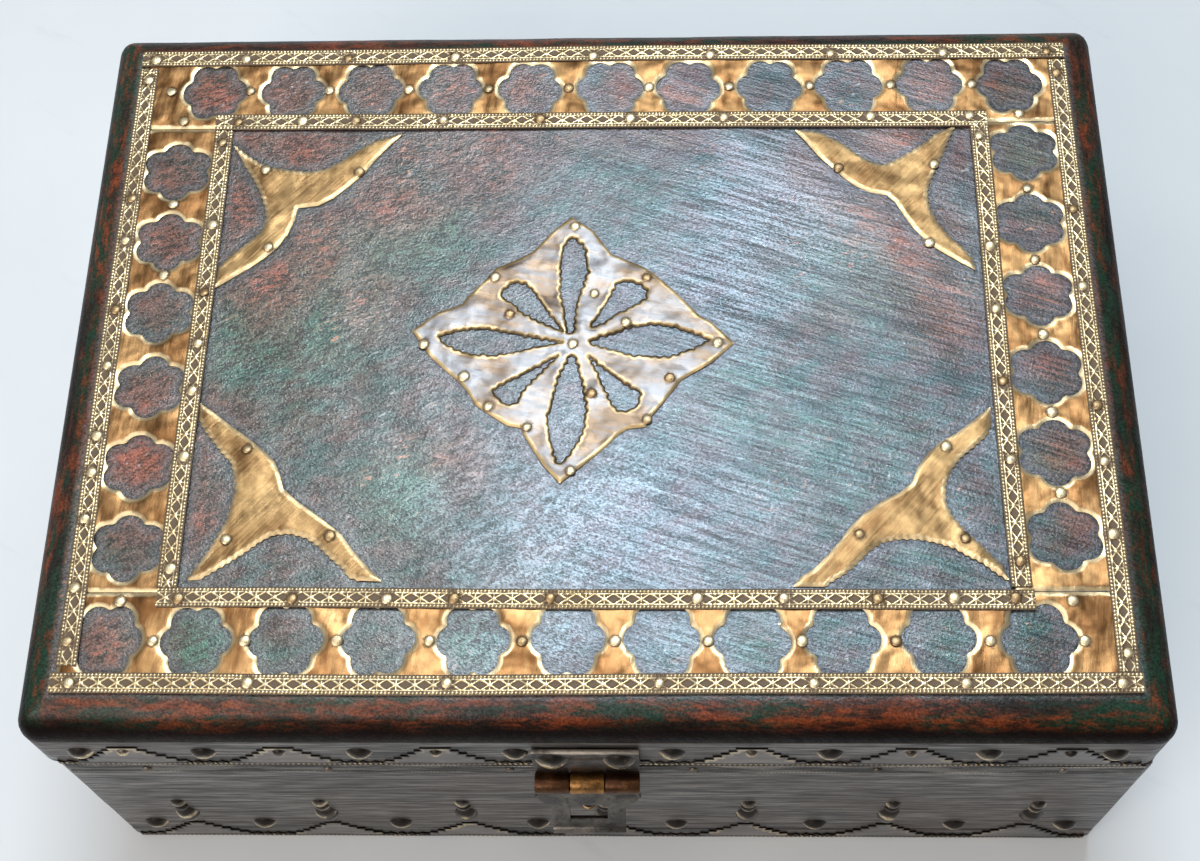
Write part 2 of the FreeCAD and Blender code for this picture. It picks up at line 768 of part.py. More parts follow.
# Skirt: one sheet on each side of the foot, a boss in each scallop and a bud over each point
def skirts():
    buds = []
    bosses = []
    for face in faces:
        length = face_length(face, base_width, base_depth, board_corner_radius)
        points = scallops(length)[0]
        sheet = scalloped_sheet(length, skirt_rim, skirt_height, skirt_lift)
        save("base_" + face + "_skirt", on_base(sheet, face))
        spots = [Vector(x, 0, skirt_lift + skirt_height) for x in points]
        buds += [on_base(one, face) for one in copies(bud(), spots)]
        spots = boss_places(length, skirt_lift + skirt_boss_rise, 0)
        bosses += [on_base(one, face) for one in facing_out(boss_nail(), spots)]
    save("skirt_buds", Part.makeCompound(buds))
    save("skirt_bosses", Part.makeCompound(bosses))


# Edge ribbon: stamped strip round the top of the base
def edge_ribbons():
    nails = []
    inward = Vector(0, edge_ribbon_thickness, 0)
    for face in faces:
        length = face_length(face, base_width, base_depth, board_corner_radius)
        middle_z = base_height - edge_ribbon_drop - edge_ribbon_width / 2
        strip = ribbon(length, edge_ribbon_width, edge_ribbon_thickness)
        strip.rotate(Vector(0, 0, 0), Vector(1, 0, 0), 90)
        strip.translate(Vector(0, 0, middle_z))
        span = length - 2 * edge_nail_inset
        count = max(1, round(span / edge_nail_spacing))
        flat = edge_ribbon_thickness - ribbon_bead / 2
        spots = [Vector(i * span / count - span / 2, -flat, middle_z) for i in range(count + 1)]
        spots = clear_of_hardware(face, 0, spots, nail_head_radius)
        strip = punch(strip, spots, inward).cut(hardware_holes(face, 0))
        save("base_" + face + "_ribbon", on_base(strip, face))
        nails += [on_base(one, face) for one in facing_out(small_nail(), spots)]
    save("edge_ribbon_nails", Part.makeCompound(nails))


def barrel_axis(barrel_radius):
    """y of a knuckle axis on the plane y = 0, facing -y: the barrel stays clear of the bands."""
    return -(band_thickness + knuckle_gap + barrel_radius)


def leaf(width, height, sheet, barrel_radius, bore_radius, knuckles, upward):
    """Hinge leaf on the plane y = 0, facing -y: plate, and knuckles round an axis along x at z = 0."""
    axis_y = barrel_axis(barrel_radius)
    side = 1 if upward else -1
    clear = barrel_radius + knuckle_gap
    plate_low = min(side * clear, side * height)
    plate_high = max(side * clear, side * height)
    rear = -band_thickness
    front = rear - sheet
    shape = block(Vector(-width / 2, front, plate_low), Vector(width / 2, rear, plate_high))
    for first, last in knuckles:
        neck_low = min(0, side * clear)
        neck_high = max(0, side * clear)
        neck = block(Vector(first, front, neck_low), Vector(last, rear, neck_high))
        barrel = rod(barrel_radius, Vector(first, axis_y, 0), Vector(last - first, 0, 0))
        shape = shape.fuse(neck).fuse(barrel)
    bore = rod(bore_radius, Vector(-width / 2, axis_y, 0), Vector(width, 0, 0))
    return shape.cut(bore).removeSplitter()


def knuckle_spans(width):
    """Three equal knuckles with a gap between them: the outer two, and the middle one."""
    third = width / 3
    half_gap = knuckle_gap / 2
    outer = [(-width / 2, -third / 2 - half_gap), (third / 2 + half_gap, width / 2)]
    middle = [(-third / 2 + half_gap, third / 2 - half_gap)]
    return outer, middle


# Back hinges: base leaf with two knuckles, lid leaf with one, and a pin
def hinges():
    outer, middle = knuckle_spans(hinge_width)
    bore = hinge_pin_radius + pin_clearance
    base_leaf = leaf(hinge_width, hinge_leaf_height, hinge_sheet, hinge_barrel_radius, bore, outer, False)
    lid_leaf = leaf(hinge_width, hinge_leaf_height, hinge_sheet, hinge_barrel_radius, bore, middle, True)
    pin_start = Vector(-hinge_width / 2, barrel_axis(hinge_barrel_radius), 0)
    pin = rod(hinge_pin_radius, pin_start, Vector(hinge_width, 0, 0))
    front = -band_thickness - hinge_sheet
    reach = Vector(0, hinge_sheet, 0)
    pins = []
    base_spots = [Vector(x, front, z) for x, z in hinge_nail_spots(False)]
    lid_spots = [Vector(x, front, z) for x, z in hinge_nail_spots(True)]
    base_fixings = []
    lid_fixings = []
    for name, side in (("left", -1), ("right", 1)):
        shift = Vector(lid_centre_x + side * hinge_spacing / 2, 0, base_height)
        for node, shape, spots in (
            ("_hinge_base_leaf", base_leaf, base_spots),
            ("_hinge_lid_leaf", lid_leaf, lid_spots),
        ):
            placed = on_base(punch(shape, spots, reach), "back")
            placed.translate(shift)
            save(name + node, placed)
        for shapes, made in ((facing_out(small_nail(), base_spots), base_fixings),
                             (facing_out(small_nail(), lid_spots), lid_fixings),
                             ([pin], pins)):
            for one in shapes:
                placed = on_base(one, "back")
                placed.translate(shift)
                made.append(placed)
    save("hinge_pins", Part.makeCompound(pins))
    save("hinge_base_nails", Part.makeCompound(base_fixings))
    save("hinge_lid_nails", Part.makeCompound(lid_fixings))


def hasp_shape():
    """Hasp hanging straight down from an axis along x at the origin: knuckle, plate, slot and lip."""
    first, last = knuckle_spans(clasp_leaf_width)[1][0]
    half = clasp_sheet / 2
    ear = hasp_ear_width / 2
    end = hasp_end_width / 2
    throat = -clasp_barrel_radius - knuckle_gap
    outline = [
        (last, 0), (last, throat), (ear - clasp_sheet, throat), (ear, -hasp_ear_reach),
        (end, -hasp_taper_reach), (end, -hasp_length), (-end, -hasp_length), (-end, -hasp_taper_reach),
        (-ear, -hasp_ear_reach), (clasp_sheet - ear, throat), (first, throat), (first, 0),
    ]
    points = [Vector(x, half, z) for x, z in outline]
    edges = [line(points[i], points[(i + 1) % len(points)]) for i in range(len(points))]
    plate = prism(edges, Vector(0, -clasp_sheet, 0))
    slot_half = hasp_slot_width / 2
    slot = block(Vector(-slot_half, -half, -hasp_slot_end), Vector(slot_half, half, -hasp_slot_start))
    lip_face = Part.Face(Part.makePolygon([
        Vector(-end, half, -hasp_length), Vector(end, half, -hasp_length),
        Vector(end, -half, -hasp_length), Vector(-end, -half, -hasp_length),
        Vector(-end, half, -hasp_length),
    ]))
    lip_centre = Vector(0, -half - hasp_lip_radius, -hasp_length)
    lip = lip_face.revolve(lip_centre, Vector(-1, 0, 0), hasp_lip_angle)
    barrel = rod(clasp_barrel_radius, Vector(first, 0, 0), Vector(last - first, 0, 0))
    bore = rod(clasp_pin_radius + pin_clearance, Vector(first, 0, 0), Vector(last - first, 0, 0))
    return plate.cut(slot).fuse(lip).fuse(barrel).cut(bore).removeSplitter()


# Clasp on the front: leaf, screws and pin on the lid, and the hasp swung clear of the staple
def clasp():
    outer = knuckle_spans(clasp_leaf_width)[0]
    axis_z = base_height - clasp_axis_drop
    axis_y = barrel_axis(clasp_barrel_radius)
    place = Vector(clasp_shift_x, 0, axis_z)
    front = -band_thickness - clasp_sheet
    plate = leaf(clasp_leaf_width, clasp_leaf_height, clasp_sheet, clasp_barrel_radius,
                 clasp_pin_radius + pin_clearance, outer, True)
    screws = []
    for side in (-1, 1):
        spot = Vector(side * screw_spacing / 2, front, screw_rise)
        hole = screw_shank_radius + nail_hole_clearance
        plate = plate.cut(rod(hole, spot, Vector(0, clasp_sheet, 0)))
        screw = dome_nail(screw_head_radius, screw_head_height, screw_shank_radius, screw_length)
        slot = block(
            Vector(-screw_head_radius, -screw_slot_width / 2, screw_head_height - screw_slot_depth),
            Vector(screw_head_radius, screw_slot_width / 2, screw_head_height),
        )
        screws += facing_out(screw.cut(slot), [spot])
    pin = rod(clasp_pin_radius, Vector(-clasp_leaf_width / 2, axis_y, 0), Vector(clasp_leaf_width, 0, 0))
    hasp = hasp_shape()
    hasp.rotate(Vector(0, 0, 0), Vector(-1, 0, 0), hasp_rest_angle)
    hasp.translate(Vector(0, axis_y, 0))
    for node, shape in (
        ("clasp_leaf", plate),
        ("clasp_screws", Part.makeCompound(screws)),
        ("clasp_pin", pin),
        ("hasp", hasp),
    ):
        shape.translate(place)
        save(node, on_lid(shape, "front"))


# Staple on the base front: a wire loop through a plate, with its legs in the wood
def staple():
    middle_z = base_height - clasp_axis_drop - staple_drop
    bend = staple_loop_width / 2 - staple_wire_radius
    straight = staple_reach - staple_wire_radius - bend
    front = -staple_plate_thickness
    half_x = staple_plate_width / 2
    half_z = staple_plate_height / 2
    plate = block(Vector(-half_x, front, -half_z), Vector(half_x, 0, half_z))
    shift = Vector(lid_centre_x + clasp_shift_x, 0, middle_z)
    hole = staple_wire_radius + nail_hole_clearance
    loop = []
    for side in (-1, 1):
        plate = plate.cut(rod(hole, Vector(side * bend, front, 0), Vector(0, staple_plate_thickness, 0)))
        leg_start = Vector(side * bend, -straight, 0)
        loop.append(rod(staple_wire_radius, leg_start, Vector(0, straight + wall_thickness, 0)))
    ring = Part.makeTorus(bend, staple_wire_radius, Vector(0, -straight, 0), Vector(0, 0, 1))
    outer = bend + staple_wire_radius
    half_space = block(Vector(-outer, -straight, -outer), Vector(outer, outer - straight, outer))
    wire = ring.cut(half_space).fuse(loop).removeSplitter()
    spots = []
    for side_x in (-1, 1):
        for side_z in (-1, 1):
            spots.append(Vector(side_x * staple_nail_share * staple_plate_width, front,
                                side_z * staple_nail_share * staple_plate_height))
    plate = punch(plate, spots, Vector(0, staple_plate_thickness, 0))
    for node, shape in (
        ("staple_plate", plate),
        ("staple", wire),
        ("staple_nails", Part.makeCompound(facing_out(small_nail(), spots))),
    ):
        shape.translate(shift)
        save(node, on_base(shape, "front"))


os.makedirs("parts", exist_ok=True)
base_boards()
base_nails()
lid_boards()
lid_nails()
outer_spots = ribbon_frame("outer", outer_half_x, outer_half_y, {
    "front": outer_front_nail_shares,
    "back": outer_back_nail_shares,
    "left": outer_left_nail_shares,
    "right": outer_right_nail_shares,
})
inner_spots = ribbon_frame("inner", inner_half_x, inner_half_y, {
    "front": inner_front_nail_shares,
    "back": inner_back_nail_shares,
    "left": inner_left_nail_shares,
    "right": inner_right_nail_shares,
})
sheet_spots = frets(outer_spots + inner_spots) + corner_plates() + medallion()
save("ornament_nails", Part.makeCompound(copies(small_nail(), outer_spots + inner_spots + sheet_spots)))
lid_bands()
skirts()
edge_ribbons()
hinges()
clasp()
staple()
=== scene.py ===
import math
import random

import bpy
import numpy as np
from mathutils import Matrix, Vector


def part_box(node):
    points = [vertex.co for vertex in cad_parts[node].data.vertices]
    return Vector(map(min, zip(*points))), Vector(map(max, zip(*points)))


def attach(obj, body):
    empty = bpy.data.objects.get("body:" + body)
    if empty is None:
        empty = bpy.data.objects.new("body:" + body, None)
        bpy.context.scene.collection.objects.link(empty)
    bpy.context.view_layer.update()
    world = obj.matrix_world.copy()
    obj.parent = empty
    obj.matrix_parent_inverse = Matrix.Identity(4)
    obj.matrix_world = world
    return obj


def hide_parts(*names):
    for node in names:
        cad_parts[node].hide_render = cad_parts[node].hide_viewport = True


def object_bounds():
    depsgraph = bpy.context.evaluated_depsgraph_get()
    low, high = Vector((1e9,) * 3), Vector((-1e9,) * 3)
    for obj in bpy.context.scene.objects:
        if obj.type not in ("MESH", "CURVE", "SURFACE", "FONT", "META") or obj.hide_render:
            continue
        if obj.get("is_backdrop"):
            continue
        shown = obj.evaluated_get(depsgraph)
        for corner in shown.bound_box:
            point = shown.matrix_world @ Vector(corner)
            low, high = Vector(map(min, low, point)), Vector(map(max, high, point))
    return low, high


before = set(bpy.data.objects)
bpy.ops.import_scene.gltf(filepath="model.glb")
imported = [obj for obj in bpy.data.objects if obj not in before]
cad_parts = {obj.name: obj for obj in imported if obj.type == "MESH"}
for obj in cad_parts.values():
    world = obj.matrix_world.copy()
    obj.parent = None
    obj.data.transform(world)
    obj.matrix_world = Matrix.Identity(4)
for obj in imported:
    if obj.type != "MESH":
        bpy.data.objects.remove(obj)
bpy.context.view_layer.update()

# Base boards
# Five planed boards, stained brown-black and waxed. The long walls lap the ends of the short ones,
# all four stand on the bottom board, and wire nails sunk below the surface hold them.
mm = 0.001


def nothing_chosen():
    """Object mode, with nothing selected."""
    if bpy.context.object and bpy.context.object.mode != "OBJECT":
        bpy.ops.object.mode_set(mode="OBJECT")
    bpy.ops.object.select_all(action="DESELECT")


def chosen(piece):
    """Only this piece selected, and active."""
    nothing_chosen()
    piece.select_set(True)
    bpy.context.view_layer.objects.active = piece


def named(name):
    """The piece that was added or joined last, under its name."""
    piece = bpy.context.object
    piece.name = name
    piece.data.name = name
    return piece


def smooth(piece, angle=35):
    """Shade a piece smooth, but for its sharp edges."""
    chosen(piece)
    bpy.ops.object.shade_smooth_by_angle(angle=math.radians(angle))


def shaped(piece, kind, **values):
    """Apply one modifier to a piece."""
    chosen(piece)
    modifier = piece.modifiers.new(kind.lower(), kind)
    for key, value in values.items():
        setattr(modifier, key, value)
    bpy.ops.object.modifier_apply(modifier=modifier.name)


def uneven(piece, depth, size):
    """Push the surface in and out a little, as hand work leaves it. Sizes in millimetres."""
    clouds = bpy.data.textures.new(piece.name + " unevenness", "CLOUDS")
    clouds.noise_scale = size * mm
    shaped(piece, "DISPLACE", texture=clouds, strength=depth * mm, mid_level=0.5, texture_coords="LOCAL")


def edit_whole():
    """Edit mode, with all of the active piece selected."""
    bpy.ops.object.mode_set(mode="EDIT")
    bpy.ops.mesh.select_all(action="SELECT")


def board(name, low, high, worn, cuts):
    """A board between two corners in millimetres, with worn edges and slightly uneven faces."""
    nothing_chosen()
    bpy.ops.mesh.primitive_cube_add(size=1)
    piece = named(name)
    piece.scale = [(b - a) * mm for a, b in zip(low, high)]
    piece.location = [(a + b) / 2 * mm for a, b in zip(low, high)]
    bpy.ops.object.transform_apply(location=True, rotation=True, scale=True)
    shaped(piece, "BEVEL", width=worn * mm, segments=3, limit_method="ANGLE")
    edit_whole()
    bpy.ops.mesh.subdivide(number_cuts=cuts)
    bpy.ops.object.mode_set(mode="OBJECT")
    uneven(piece, 0.35, 28)
    smooth(piece)
    return piece


def dress(piece, material, body, slot, *nodes):
    """Give a finished piece its material, its body and the CAD nodes it stands for."""
    piece.data.materials.clear()
    piece.data.materials.append(material)
    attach(piece, body)
    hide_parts(*nodes)


class Layer:
    """A number or a colour that varies over a piece, as one output of a node in its finish."""

    def __init__(self, finish, socket):
        self.finish = finish
        self.socket = socket

    def __add__(self, other):
        return self.finish.sum("ADD", self, other)

    def __sub__(self, other):
        return self.finish.sum("SUBTRACT", self, other)

    def __rsub__(self, other):
        return self.finish.sum("SUBTRACT", other, self)

    def __mul__(self, other):
        return self.finish.sum("MULTIPLY", self, other)

    def __abs__(self):
        return self.finish.sum("ABSOLUTE", self)

    def spread(self, low, high, first=0.0, last=1.0):
        """Mapped from one range to another, held at the ends."""
        return self.finish.layer("ShaderNodeMapRange", {"Value": self, "From Min": low, "From Max": high,
                                                        "To Min": first, "To Max": last}, "Result")

    def ragged(self, noise, swing):
        """Pushed up and down by a noise."""
        return self + noise.spread(0.3, 0.7, -swing, swing)

    def shaded(self, value):
        """A colour made darker or lighter."""
        return self.finish.layer("ShaderNodeVectorMath", {0: self, "Scale": value}, operation="SCALE")


class Finish:
    """A material in the making: layers over a piece, led into its main shader."""

    def __init__(self, name):
        self.material = bpy.data.materials.new(name)
        self.material.use_nodes = True
        self.tree = self.material.node_tree
        self.shader = self.tree.nodes["Principled BSDF"]

    def lead(self, value, socket):
        """Link a layer to a socket, or set the socket to a number or to a colour of three numbers."""
        if isinstance(value, Layer):
            self.tree.links.new(value.socket, socket)
        else:
            socket.default_value = (*value, 1) if socket.type == "RGBA" else value

    def layer(self, kind, inputs, output=0, **settings):
        """Add a node, with its settings and inputs, and take one of its outputs."""
        node = self.tree.nodes.new(kind)
        for key, value in settings.items():
            setattr(node, key, value)
        for key, value in inputs.items():
            self.lead(value, node.inputs[key])
        return Layer(self, node.outputs[output])

    def sum(self, how, first, last=0.0):
        """Arithmetic on layers or numbers."""
        return self.layer("ShaderNodeMath", {0: first, 1: last}, operation=how)

    def blend(self, share, first, last):
        """Colour between two colours."""
        return self.layer("ShaderNodeMix", {0: share, 6: first, 7: last}, 2, data_type="RGBA")

    def place(self):
        """Where on the piece, in metres."""
        return self.layer("ShaderNodeTexCoord", {}, "Object")

    def axis(self, letter):
        """Where on the piece along x, y or z."""
        return self.layer("ShaderNodeSeparateXYZ", {0: self.place()}, letter)

    def away(self, axes, spot):
        """How far from a spot in mm, measured on the axes that are 1."""
        flat = self.layer("ShaderNodeVectorMath", {0: self.place(), 1: axes}, operation="MULTIPLY")
        return self.layer("ShaderNodeVectorMath", {0: flat, 1: [size * mm for size in spot]}, "Value",
                          operation="DISTANCE")

    def kept(self, name):
        """A value that the piece's vertices keep."""
        return self.layer("ShaderNodeAttribute", {}, "Fac", attribute_name=name)

    def grain(self, stretch, turn=0, shift=0, detail=6, rough=0.6):
        """Noise: stretch is its repeats per metre, in all or in x, y and z, turned about z in degrees."""
        if not isinstance(stretch, tuple):
            stretch = (stretch,) * 3
        about_z = (0, 0, math.radians(turn))
        laid = self.layer("ShaderNodeMapping", {"Vector": self.place(), "Rotation": about_z})
        sized = self.layer("ShaderNodeMapping", {"Vector": laid, "Scale": stretch, "Location": (shift,) * 3})
        return self.layer("ShaderNodeTexNoise", {"Vector": sized, "Scale": 1.0, "Detail": detail,
                                                 "Roughness": rough}, "Fac")

    def coat(self, colour, rough, metal=0.0):
        """Lead colour, roughness and share of metal into the shader."""
        for name, value in (("Base Color", colour), ("Roughness", rough), ("Metallic", metal)):
            self.lead(value, self.shader.inputs[name])

    def dents(self, height, depth, strength=1.0):
        """Bump the surface by a layer from 0 to 1, depth in millimetres."""
        surface = self.shader.inputs["Normal"]
        inputs = {"Height": height, "Distance": depth * mm, "Strength": strength}
        if surface.links:
            inputs["Normal"] = Layer(self, surface.links[0].from_socket)
        self.lead(self.layer("ShaderNodeBump", inputs), surface)


def crack(wood, first, last, width, waver):
    """A dark split in a wall along x, between two places (x, z) in mm, open in its middle: 1 inside it."""
    run = wood.axis("X").spread(first[0] * mm, last[0] * mm)
    line = run.spread(0, 1, first[1] * mm, last[1] * mm).ragged(waver, 0.5 * mm)
    taper = run * (1.0 - run)
    return wood.sum("LESS_THAN", abs(wood.axis("Z") - line), taper * (4 * width * mm))


def waxed_wood(name, stretch, shift, splits=()):
    """Brown-black waxed wood, with grain along its length and splits between places in mm."""
    wood = Finish(name)
    fibre = wood.grain(stretch, shift=shift, detail=5)
    pores = wood.grain(tuple(2.6 * size for size in stretch), shift=shift + 1, detail=3)
    cloud = wood.grain((14, 14, 20), shift=shift + 3)
    dark = wood.blend(fibre.spread(0.40, 0.60), (0.012, 0.010, 0.008), (0.108, 0.098, 0.088))
    dark = dark.shaded(pores.spread(0.42, 0.62, 1.45, 0.3))
    brown = wood.blend(cloud.spread(0.45, 0.75), dark, (0.040, 0.022, 0.014))
    for first, last, width in splits:
        brown = wood.blend(crack(wood, first, last, width, cloud), brown, (0.001, 0.001, 0.001))
    wood.coat(brown, pores.spread(0.35, 0.65, 0.26, 0.6))
    wood.shader.inputs["IOR"].default_value = 1.6
    wood.dents(fibre, 0.25, 0.8)
    wood.dents(pores, 0.12, 0.9)
    return wood.material


front_splits = [((73, 54), (97, 59.5), 0.7), ((-128, 64), (-96, 63), 0.5), ((20, 47), (38, 47.5), 0.3),
                ((-52, 66), (-36, 65.5), 0.6), ((-20, 64), (-8, 64), 0.4)]
wood_long = waxed_wood("waxed wood, grain along x", (26, 300, 380), 0)
wood_front = waxed_wood("waxed wood, split front", (26, 300, 380), 2, front_splits)
wood_short = waxed_wood("waxed wood, grain along y", (300, 26, 380), 5)
wood_flat = waxed_wood("waxed wood, bottom", (16, 300, 300), 9)
base_x, base_y = 137.5, 104
wall_foot, wall_top = 8, 76.9
for name, low, high, worn, cuts, wood, node in (
        ("bottom_plank", (-137.4, -103.9, 0), (137.4, 103.9, wall_foot), 1.2, 10, wood_flat, "bottom_board"),
        ("front_wall", (-base_x, -base_y, wall_foot), (base_x, -95, wall_top), 1.6, 14, wood_front,
         "base_front_board"),
        ("back_wall", (-base_x, 95, wall_foot), (base_x, base_y, wall_top), 1.6, 14, wood_long,
         "base_back_board"),
        ("left_wall", (-base_x, -95.1, wall_foot), (-128.5, 95.1, wall_top), 0.8, 14, wood_short,
         "base_left_board"),
        ("right_wall", (128.5, -95.1, wall_foot), (base_x, 95.1, wall_top), 0.8, 14, wood_short,
         "base_right_board")):
    dress(board(name, low, high, worn, cuts), wood, "base", "dark_wood", node)

# Wire nails of the boards
# Plain round iron wire, driven across the joints and sunk below the wood, so that nothing of them
# shows. The CAD pieces stay and take a rusted finish.


def rusted_iron():
    """Dark iron with brown rust."""
    metal = Finish("rusted iron")
    rust = metal.grain(300)
    colour = metal.blend(rust.spread(0.4, 0.65), (0.045, 0.040, 0.038), (0.13, 0.055, 0.025))
    metal.coat(colour, rust.spread(0.4, 0.65, 0.45, 0.75), 0.7)
    metal.dents(rust, 0.1)
    return metal.material


iron = rusted_iron()
for node in ("base_nails", "lid_nails"):
    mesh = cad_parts[node].data
    mesh.materials.clear()
    mesh.materials.append(iron)

# Skirts
# Four strips of thin brass sheet, blackened with age and wax, cut by hand into scallops with pinked
# edges, and bent a little. They stand round the foot of the base, held by the bosses.


def edge_gap(points, loops):
    """Distance of points from the edge of a sheet cut to closed loops, in mm: below zero on the sheet."""
    reach = 4.0
    nearest = np.full(len(points), reach ** 2)
    inside = np.zeros(len(points), bool)
    for loop in loops:
        loop = np.asarray(loop, float)
        close = (points > loop.min(axis=0) - reach) & (points < loop.max(axis=0) + reach)
        near = np.flatnonzero(np.all(close, axis=1))
        spots = points[near]
        least = nearest[near]
        flip = inside[near]
        for first, last in zip(loop, np.roll(loop, -1, axis=0)):
            way = last - first
            share = np.clip((spots - first) @ way / max(way @ way, 1e-12), 0, 1)
            off = spots - first - share[:, None] * way
            least = np.minimum(least, (off * off).sum(axis=1))
            crossed = (first[1] > spots[:, 1]) != (last[1] > spots[:, 1])
            at = first[0] + (spots[:, 1] - first[1]) * way[0] / (way[1] if way[1] else 1e-12)
            flip = flip ^ (crossed & (spots[:, 0] < at))
        nearest[near] = least
        inside[near] = flip
    gap = np.sqrt(nearest)
    return np.where(inside, -gap, gap)


def waves(points, size, seed):
    """A smooth random height from -1 to 1 over points in mm, its waves about that size."""
    pick = random.Random(seed)
    height = np.zeros(len(points))
    for step in range(9):
        way = pick.uniform(0, math.pi)
        length = size * pick.uniform(0.6, 1.6)
        phase = (points[:, 0] * math.cos(way) + points[:, 1] * math.sin(way)) * 2 * math.pi / length
        height += np.sin(phase + pick.uniform(0, 6.28))
    return height / 5


def vertices_of(mesh):
    """The places of a mesh's vertices, in millimetres."""
    places = np.empty(len(mesh.vertices) * 3, np.float32)
    mesh.vertices.foreach_get("co", places)
    return places.reshape(-1, 3).astype(float) / mm


def place_vertices(mesh, places):
    """Move a mesh's vertices to places in millimetres."""
    mesh.vertices.foreach_set("co", (places * mm).astype(np.float32).ravel())
    mesh.update()


def keep_value(mesh, name, values):
    """Store one number for each vertex."""
    mesh.attributes.new(name, "FLOAT", "POINT").data.foreach_set("value", values.astype(np.float32))


def flat_grid(name, counts, low, high):
    """A flat grid of so many faces between two corners in mm, on z = 0."""
    nothing_chosen()
    bpy.ops.mesh.primitive_grid_add(x_subdivisions=int(counts[0]), y_subdivisions=int(counts[1]), size=1)
    piece = named(name)
    piece.scale = ((high[0] - low[0]) * mm, (high[1] - low[1]) * mm, 1)
    piece.location = ((high[0] + low[0]) / 2 * mm, (high[1] + low[1]) / 2 * mm, 0)
    bpy.ops.object.transform_apply(location=True, rotation=True, scale=True)
    return piece


def edit_open_edge():
    """Edit mode, with only the open edge of the active piece selected."""
    bpy.ops.object.mode_set(mode="EDIT")
    bpy.ops.mesh.select_mode(type="VERT")
    bpy.ops.mesh.select_all(action="DESELECT")
    bpy.ops.mesh.select_non_manifold()


def cut_sheet(name, loops, step, thickness, roll, sink, wave, seed):
    """A thin sheet cut to closed loops, lying on z = 0: its edge rolled down over a width, by a depth.

    Its vertices keep their distance from the edge, in mm, as the value "edge"."""
    everything = np.concatenate([np.asarray(loop, float) for loop in loops])
    low = everything.min(axis=0) - step
    high = everything.max(axis=0) + step
    piece = flat_grid(name, np.ceil((high - low) / step), low, high)
    mesh = piece.data
    centres = np.empty(len(mesh.polygons) * 3, np.float32)
    mesh.polygons.foreach_get("center", centres)
    off = edge_gap(centres.reshape(-1, 3)[:, :2].astype(float) / mm, loops) > 0
    bpy.ops.object.mode_set(mode="EDIT")
    bpy.ops.mesh.select_mode(type="FACE")
    bpy.ops.mesh.select_all(action="DESELECT")
    bpy.ops.object.mode_set(mode="OBJECT")
    mesh.polygons.foreach_set("select", off)
    bpy.ops.object.mode_set(mode="EDIT")
    bpy.ops.mesh.delete(type="FACE")
    edit_open_edge()
    bpy.ops.object.mode_set(mode="OBJECT")
    rim = np.empty(len(mesh.vertices), bool)
    mesh.vertices.foreach_get("select", rim)
    places = vertices_of(mesh)
    for turn in range(3):
        spots = places[rim, :2]
        gap = edge_gap(spots, loops)
        slope = np.stack([(edge_gap(spots + way, loops) - edge_gap(spots - way, loops)) / 0.1
                          for way in (np.array((0.05, 0)), np.array((0, 0.05)))], axis=1)
        steep = np.maximum(np.linalg.norm(slope, axis=1), 0.5)
        places[rim, :2] = spots - (gap / steep ** 2)[:, None] * slope
    inward = np.maximum(-edge_gap(places[:, :2], loops), 0)
    inward[rim] = 0
    fall = np.clip(1 - inward / roll, 0, 1) ** 2
    places[:, 2] = thickness - sink * fall + wave * waves(places[:, :2], 17, seed) * np.clip(inward / 2, 0, 1)
    place_vertices(mesh, places)
    shaped(piece, "SOLIDIFY", thickness=thickness * mm, offset=-1)
    keep_value(mesh, "edge", np.tile(inward, 2))
    smooth(piece, 50)
    return piece


def pinked(path, pitch, depth, unlike=0.0):
    """A line in mm with small teeth cut into its left side, more or less unlike each other."""
    path = np.asarray(path, float)
    steps = np.linalg.norm(np.diff(path, axis=0), axis=1)
    along = np.concatenate([[0], np.cumsum(steps)])
    count = max(2, int(round(along[-1] / pitch)) * 2)
    marks = np.linspace(0, along[-1], count + 1)
    spots = np.stack([np.interp(marks, along, path[:, axis]) for axis in (0, 1)], axis=1)
    ways = np.gradient(spots, axis=0)
    ways /= np.maximum(np.linalg.norm(ways, axis=1), 1e-9)[:, None]
    left = np.stack([-ways[:, 1], ways[:, 0]], axis=1)
    pick = random.Random(count)
    bites = np.array([depth * (i % 2) * (1 + pick.uniform(-unlike, unlike)) for i in range(count + 1)])
    return spots + left * bites[:, None]


def scalloped_outline(length, count, rim, height, low, tip):
    """Outline of a strip whose upper edge runs in toothed scallops between points as wide as the tip."""
    tooth_pitch, tooth_depth = 2.9, 1.7
    pitch = length / count
    half = pitch / 2 - tip / 2
    flat = 0.3 * half
    upper = []
    for i in range(count + 1):
        middle = (i - count / 2) * pitch
        first = max(-half, -length / 2 - middle)
        last = min(half, length / 2 - middle)
        arc = [(middle + x, low + rim + (height - rim) * max(0, (abs(x) - flat) / (half - flat)) ** 1.3)
               for x in np.linspace(first, last, 40)]
        upper.append(pinked(arc, tooth_pitch, -tooth_depth))
    return np.concatenate([[(length / 2, low), (-length / 2, low)]] + upper)


faces = {
    "front": ((1, 0, 0), (0, 0, 1), (0, -1, 0)),
    "back": ((-1, 0, 0), (0, 0, 1), (0, 1, 0)),
    "right": ((0, 1, 0), (0, 0, 1), (1, 0, 0)),
    "left": ((0, -1, 0), (0, 0, 1), (-1, 0, 0)),
}


def stand(piece, face, centre, half_x, half_y):
    """Turn a piece that lies on z = 0 onto a side face, its y upwards and its z outwards."""
    across, up, out = (Vector(way) for way in faces[face])
    turn = Matrix((across, up, out)).transposed().to_4x4()
    turn.translation = Vector((centre, 0, 0)) * mm + Vector((out.x * half_x, out.y * half_y, 0)) * mm
    piece.data.transform(turn)


